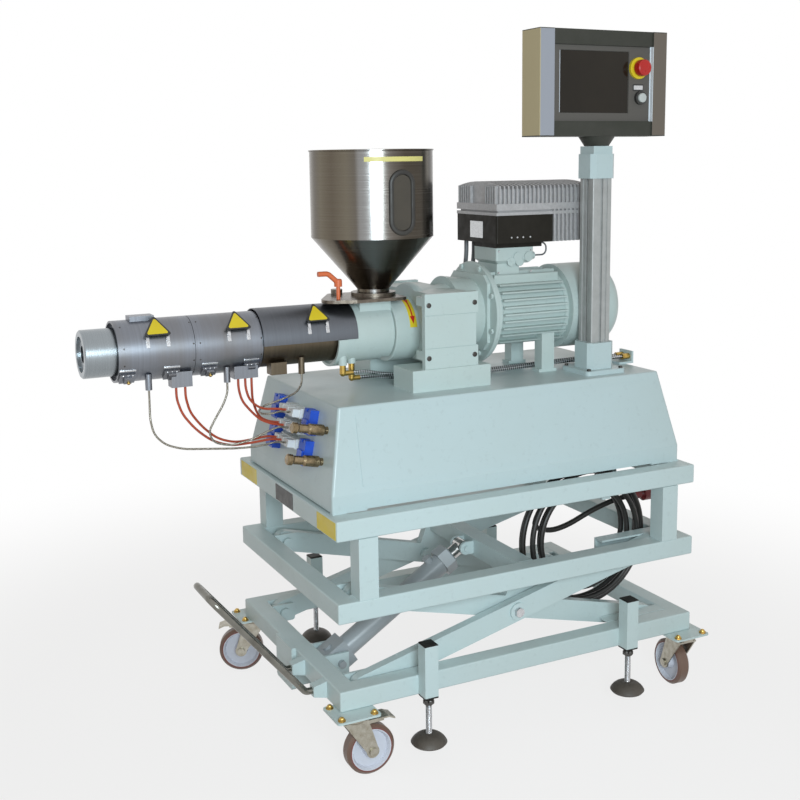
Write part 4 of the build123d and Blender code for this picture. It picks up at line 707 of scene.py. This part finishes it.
def leg_details():
    """Lock nut under each leg's cap and the spindle's rolled thread."""
    for corner, (sx, sy) in corners.items():
        x, y = 300 * sx, 358 * sy
        piece(f"leg_nut_{corner}", seated(hex_head(24, 11), (x, y, 146)), dark_steel, "base")
        piece(f"foot_thread_{corner}", seated(thread(7.9, 1.1, 2.0, 70, 145), (x, y, 0)), bright_zinc,
              f"foot_{corner}")


def arm_pins():
    """Hexagon bolt heads on the washers at both ends of the scissor's middle pin."""
    for name, side in (("near", -1), ("far", 1)):
        head = seated(hex_head(24, 9), (0, side * (outer_face + 3), 298.5), (0, side, 0))
        piece(f"arm_bolt_{name}", head, bright_zinc, "outer_arms")


castor_details()
leg_details()
arm_pins()


# Enclosure and gearbox.
gear_face, flange_face, motor_z = -173, 28.6, 1050
flange_bolt_count, flange_bolt_ring = 8, 122


def cover_screws():
    """Eight small domed screws at the cover panel's edges, hidden behind its slope."""
    places = np.array([(x, cover_face, z) for z in (845, 673) for x in (-396, -114, 175, 449)], float)
    piece("cover_screws", seated(pan_head(9, 3), places, (0, -1, 0)), bright_zinc, "platform")


def gear_bolts():
    """Sunk cap screws at the corners of both gear side plates, and hexagon ones round the motor flange."""
    places = np.array([(x, gear_face, z) for x in (-192, -60.5) for z in (1093, 959.5)], float)
    faces = np.concatenate((places, places * (1, -1, 1)))
    ways = np.repeat(((0, -1, 0), (0, 1, 0)), len(places), 0)
    piece("gear_screws", seated(bolt_head(13, 2.2, 4.2), faces, ways), dark_steel, "platform")
    turn = np.radians(np.arange(flange_bolt_count) * 45 + 22.5)
    ring = np.column_stack((np.full(flange_bolt_count, flange_face), flange_bolt_ring * np.cos(turn),
                            motor_z + flange_bolt_ring * np.sin(turn)))
    piece("flange_bolts", seated(hex_head(13, 6), ring, (-1, 0, 0), (0, 0, 1)), machine_enamel, "platform")


def arrow_strip():
    """A yellow strip wrapped on the collar with a red arrow that shows which way the screw turns: each shape
    is a grid of angle and width, its face on one radius and its underside on a smaller one."""
    radius, middle = 84.35, -188.0

    def wrapped(degrees, half_width, face, under):
        """One shape through those angles, so wide to each side of the middle, one or more half widths."""
        turn = np.radians(degrees)[:, None]
        across = middle + np.reshape(half_width, (-1, 1)) * np.array((-1.0, 1.0, 1.0, -1.0))
        reach = np.array((face, face, under, under))
        grid = np.broadcast_arrays(across, -reach * np.cos(turn), barrel_z + reach * np.sin(turn))
        return capped(np.stack(grid, -1)[::-1])

    strip = wrapped(np.linspace(8, 68, 25), 10.0, radius, radius - 0.3)
    piece("arrow_strip", strip, yellow_plate, "platform")
    steps = np.linspace(0, 1, 12)
    shaft = wrapped(26 + 34 * steps, 1.8, radius + 0.25, radius)
    head = wrapped(14 + 14 * steps, 7 * np.maximum(steps, 0.02), radius + 0.25, radius)
    tail = wrapped(58 + 7 * steps, 2 + 4 * steps, radius + 0.2, radius)
    piece("turn_arrow", joined(shaft, head, tail), arrow_red, "platform")


cover_screws()
gear_bolts()
arrow_strip()


# Barrel.
def on_barrel(x, angle, radius):
    """A place at that angle above the near side's level, and the way out of the barrel there."""
    out = np.array((0.0, -math.cos(math.radians(angle)), math.sin(math.radians(angle))))
    return np.array((x, 0.0, barrel_z)) + radius * out, out


def hot_plates():
    """Plain yellow triangles with a raised black rim, each over two bent legs that end 5 mm short of it."""
    tilt = 44
    bends = np.radians(np.add.outer((210, 330, 90), np.linspace(-60, 60, 5))).ravel()
    triangle = np.array(((-30, -20), (30, -20), (0, 32)), float)
    rim = np.repeat(triangle, 5, 0) * 0.86 + 4.5 * np.column_stack((np.cos(bends), np.sin(bends)))
    up = np.array((0.0, math.sin(math.radians(tilt)), math.cos(math.radians(tilt))))
    for number, (x, radius) in enumerate(((-848, cover_radius), (-652, cover_radius), (-448, shield_radius))):
        at, out = on_barrel(x, tilt, radius + 9)
        across = np.cross(up, out)
        back = seated(plate(rim, 0, 1.2, 0.3), at, out, across)
        piece(f"plate_back_{number}", back, black_plate, "platform")
        face = seated(plate(rim * 0.80 + (0, -0.6), 1.2, 1.7, 0.2), at, out, across)
        piece(f"plate_face_{number}", face, yellow_plate, "platform")
        legs = []
        for side in (-24, 24):
            foot, way = on_barrel(x + side, 18, radius + 0.2)
            legs.append(seated(plate(rounded(9, 20, 1.5), 0, 1.4, 0.3), foot, way))
            legs.append(seated(pan_head(5.5, 1.8), foot + 1.4 * way, way))
            knee = on_barrel(x + side, 27, radius + 4)[0]
            legs.append(seated(plate(rounded(7, 16, 1), -0.7, 0.7), knee, out + (0, 0, -0.35)))
        piece(f"plate_legs_{number}", joined(*legs), bright_zinc, "platform")


def latch_details():
    """On each cover latch: a folded top bar, three rivets in the base plate and a gold toggle screw."""
    bars, rivets, golds = [], [], []
    for x in (-920, -816, -724, -620):
        at, way = on_barrel(x, -30, cover_radius)
        bars.append(seated(plate(rounded(40, 5, 2), 0, 2.4, 0.6), at, way))
        for side in (-11, 0, 11):
            at, way = on_barrel(x + side, -38, cover_radius + 6.9)
            rivets.append(seated(pan_head(4.6, 1.8), at, way))
        at, way = on_barrel(x + 2, -50, cover_radius + 13.5)
        golds.append(seated(bolt_head(8, 4, 2.2), at, way))
    piece("latch_bars", joined(*bars), bright_zinc, "platform")
    piece("latch_rivets", joined(*rivets), bright_zinc, "platform")
    piece("latch_screws", joined(*golds), gold_zinc, "platform")


def seam_screws():
    """Small dark screws beside the cover seams, and two for the feed housing that lie inside it."""
    seams = [on_barrel(x, angle, cover_radius) for x in (-928, -764, -748, -596) for angle in (58, 12, -20)]
    feeds = [on_barrel(-214, angle, 75.8) for angle in (43, -44)]
    for name, shape, seats in (("cover_seam_screws", pan_head(4, 1.2), seams),
                               ("feed_screws", bolt_head(11, 3.4, 3.2), feeds)):
        places, ways = np.swapaxes(seats, 0, 1)
        piece(name, seated(shape, places, ways), dark_steel, "platform")


hot_plates()
latch_details()
seam_screws()


# Hopper.
def on_hopper(angle, along, height, radius):
    """Places on the drum: along is the arc's length from that angle, in degrees from +x."""
    turn = math.radians(angle) + np.asarray(along) / hopper_radius
    x, y = hopper_middle[0] + radius * np.cos(turn), radius * np.sin(turn)
    return np.stack(np.broadcast_arrays(x, y, height), -1)


def stadium(half_width, height, count=40):
    """A long round-ended outline and its outward directions: half circles on two straight sides."""
    turn = np.arange(count) * 2 * np.pi / count + np.pi / count
    out = np.column_stack((np.cos(turn), np.sin(turn)))
    return out * half_width + np.sign(out) * (0.0, height / 2 - half_width), out


def hopper():
    """Drum, cone and short neck in thin sheet, the sight glass with its gasket, and a bare pale strip."""
    r = hopper_radius
    sheet = turned_ring([(42, 1118), (42, 1126), (r, hopper_seam), (r, hopper_top - 1), (r + 1.2, hopper_top),
                         (r - 2, hopper_top), (r - 2, hopper_seam + 1), (40, 1127), (40, 1118)], 96)
    drum = piece("hopper_drum", seated(sheet, hopper_middle), hopper_steel_painted_reflections, "platform")
    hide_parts("hopper")
    glass_angle, glass_height, strip_angle = -86.5, 1348, -91.5
    edge, out = stadium(30, 148)
    swing = np.arange(10) * 2 * np.pi / 10
    reach = 6.3 * np.cos(swing)[None, :, None] * out[:, None] + edge[:, None]
    grid = on_hopper(glass_angle, reach[..., 0], glass_height + reach[..., 1],
                     r + 1.2 + 5.2 * np.sin(swing)[None])
    piece("sight_gasket", looped(grid), gasket_black, "platform")
    shrink = np.array((1.0, 1.0, 0.6, 0.2))[:, None, None]
    face = edge[None] * shrink * 0.9
    lift = np.array((-0.8, 1.4, 1.4, 1.4))[:, None]
    grid = on_hopper(glass_angle, face[..., 0], glass_height + face[..., 1], r + lift)
    piece("sight_window", capped(grid), sight_glass, "platform")
    along = np.linspace(-82, 82, 33)[:, None]
    high = np.array((1447.5, 1459.0, 1459.0, 1447.5))[None]
    grid = on_hopper(strip_angle, along, high, r + np.array((-0.3, -0.3, 0.35, 0.35))[None])
    piece("hopper_strip", capped(grid), pale_yellow, "platform")
    lid = turned([(r - 6, hopper_top - 12), (r - 6, hopper_top + 0.4), (r + 2.4, hopper_top + 0.4),
                  (r + 2.4, hopper_top + 2.6), (r + 1.4, hopper_top + 3.6), (60, hopper_top + 4.6),
                  (12, hopper_top + 5)], 96)
    cover = piece("hopper_cover", seated(lid, hopper_middle), hopper_steel_painted_reflections, "hopper_lid")
    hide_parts("hopper_lid")


hopper()


# Control panel.
def panel_details():
    """Dark screen, yellow collar under the stop button, black one round the push button, and a bare tag."""
    front, face = (0, -1, 0), -186.0
    screen = seated(plate(rounded(214, 156, 2), 0, 1.0, 0.3), (292, -182.8, 1643), front)
    piece("screen_pane", screen, screen_glass, "panel")
    stop = turned([(27.9, 0), (27.9, 7.6), (27.0, 8.6), (15.5, 8.6)], 32)
    piece("stop_collar", seated(stop, (428, face, 1680), front), yellow_plate, "panel")
    inner = turned([(15.4, 0), (15.4, 9.2), (14.0, 9.8)], 24)
    piece("stop_neck", seated(inner, (428, face, 1680), front), black_plate, "panel")
    push = turned_ring([(17.4, 0), (17.4, 9.2), (16.4, 10.3), (13.4, 10.3), (12.5, 9.4), (12.5, 0)], 32)
    piece("push_collar", seated(push, (436, face, 1604), front), black_plate, "panel")
    tag = seated(plate(rounded(34, 17, 1.5), 0, 1.4, 0.4), (430.5, face, 1630.5), front)
    piece("button_tag", tag, black_plate, "panel")
    tag = seated(plate(rounded(29, 11, 1), 1.4, 1.8, 0.2), (430.5, face, 1630.5), front)
    piece("button_tag_face", tag, silver_plate, "panel")


# Bare plates of the upper frame's left rail, the inverter and the cover panel.
def bare_plates():
    """Rating plates without any lettering: two yellow ones and a black one on the rail, a silver one on the
    heat sink and a grey one behind the cover panel's slope. The inverter has four lamps, and a small yellow
    triangle that lies inside its base."""
    left, front = (-1, 0, 0), (0, -1, 0)
    for name, low, high, coat in (("rail_plate_far", 203, 325, yellow_plate),
                                  ("rail_plate_mid", -65, 55, black_plate),
                                  ("rail_plate_near", -333, -222, yellow_plate)):
        shape = plate(rounded(high - low, 42, 1.5), -0.2, 0.7, 0.2)
        piece(name, seated(shape, (-525, (low + high) / 2, 607), left, (0, 1, 0)), coat, "platform")
    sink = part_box("inverter_heat_sink")[0] * 1000
    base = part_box("inverter_base")[0] * 1000
    shape = seated(plate(rounded(66, 44, 1.5), -0.2, 0.8, 0.2), (sink.x - trolley_x, -2, sink.z + 34), left,
                   (0, 1, 0))
    piece("inverter_plate", shape, silver_plate, "platform")
    triangle = np.array(((-9, -7), (9, -7), (0, 9)), float)
    mark = seated(plate(triangle, -0.2, 0.5), (base.x - trolley_x, 10, base.z + 47), left, (0, -1, 0))
    piece("inverter_mark", mark, yellow_plate, "platform")
    shape = plate(rounded(88, 33, 1.5), -0.2, 0.8, 0.2)
    piece("cover_plate_bare", seated(shape, (394, cover_face, 713), front), bare_grey, "platform")
    dots = seated(pan_head(5, 1.4), [(x, base.y, base.z + 30) for x in (92, 110, 128, 150)], front)
    piece("inverter_lamps", dots, silver_plate, "platform")


panel_details()
bare_plates()


# Terminal box and post.
def box_details():
    """The terminal box's two round blanking plugs and corner screws, and the post's clamp and foot screws."""
    box_face, front = -59.0, (0, -1, 0)
    disc = turned([(12.5, 0), (12.5, 1.8), (11.5, 2.4), (9.8, 2.4), (9.4, 1.4)], 28)
    slot = plate(rounded(11, 1.8, 0.5), 1.4, 2.2, 0.2)
    places = [(120, box_face, 1178), (146, box_face, 1178)]
    piece("box_plugs", joined(seated(disc, places, front), seated(slot, places, front, (1, 0, -1))),
          machine_enamel, "platform")
    screws = [(x, box_face, z) for x in (81, 182) for z in (1150, 1207)]
    piece("box_screws", seated(pan_head(6, 2), screws, front), bright_zinc, "platform")
    # Their normal lies along seated's own across, so these four collapse and are not seen: a known fault.
    clamp_face = 282.0
    clamp = [(clamp_face, y, z) for y in (-176, -124) for z in (904, 946)]
    piece("clamp_screws", seated(bolt_head(9, 4, 2.4), clamp, (-1, 0, 0)), dark_steel, "platform")
    post_x, post_y, plate_top, reach = 326, -150, 889, 52
    feet = [(post_x + x, post_y + y, plate_top) for x in (-reach, reach) for y in (-reach, reach)]
    piece("post_plate_screws", seated(bolt_head(11, 5, 3), feet), dark_steel, "platform")


box_details()


# Cable clip.
def cable_clip():
    """The bright strap that holds the coil's turns together, wrapped round the bundle."""
    at = math.radians(64)
    inner, outer, half_width, flatness = 40.5, 41.6, 9, 0.86
    out = np.array((math.cos(at), 0.0, math.sin(at)))
    run = np.array((-out[2], 0.0, out[0]))
    centre = np.array(coil_middle) + coil_radius * out
    turn = np.arange(36)[:, None] * 2 * np.pi / 36
    round_bundle = np.cos(turn) * out + np.sin(turn) * np.array((0, flatness, 0))
    section = ((inner, -half_width), (outer, -half_width), (outer, half_width), (inner, half_width))
    ring = [centre + radius * round_bundle + shift * run for radius, shift in section]
    piece("coil_strap", looped(np.stack(ring)), bright_zinc, "platform")


cable_clip()
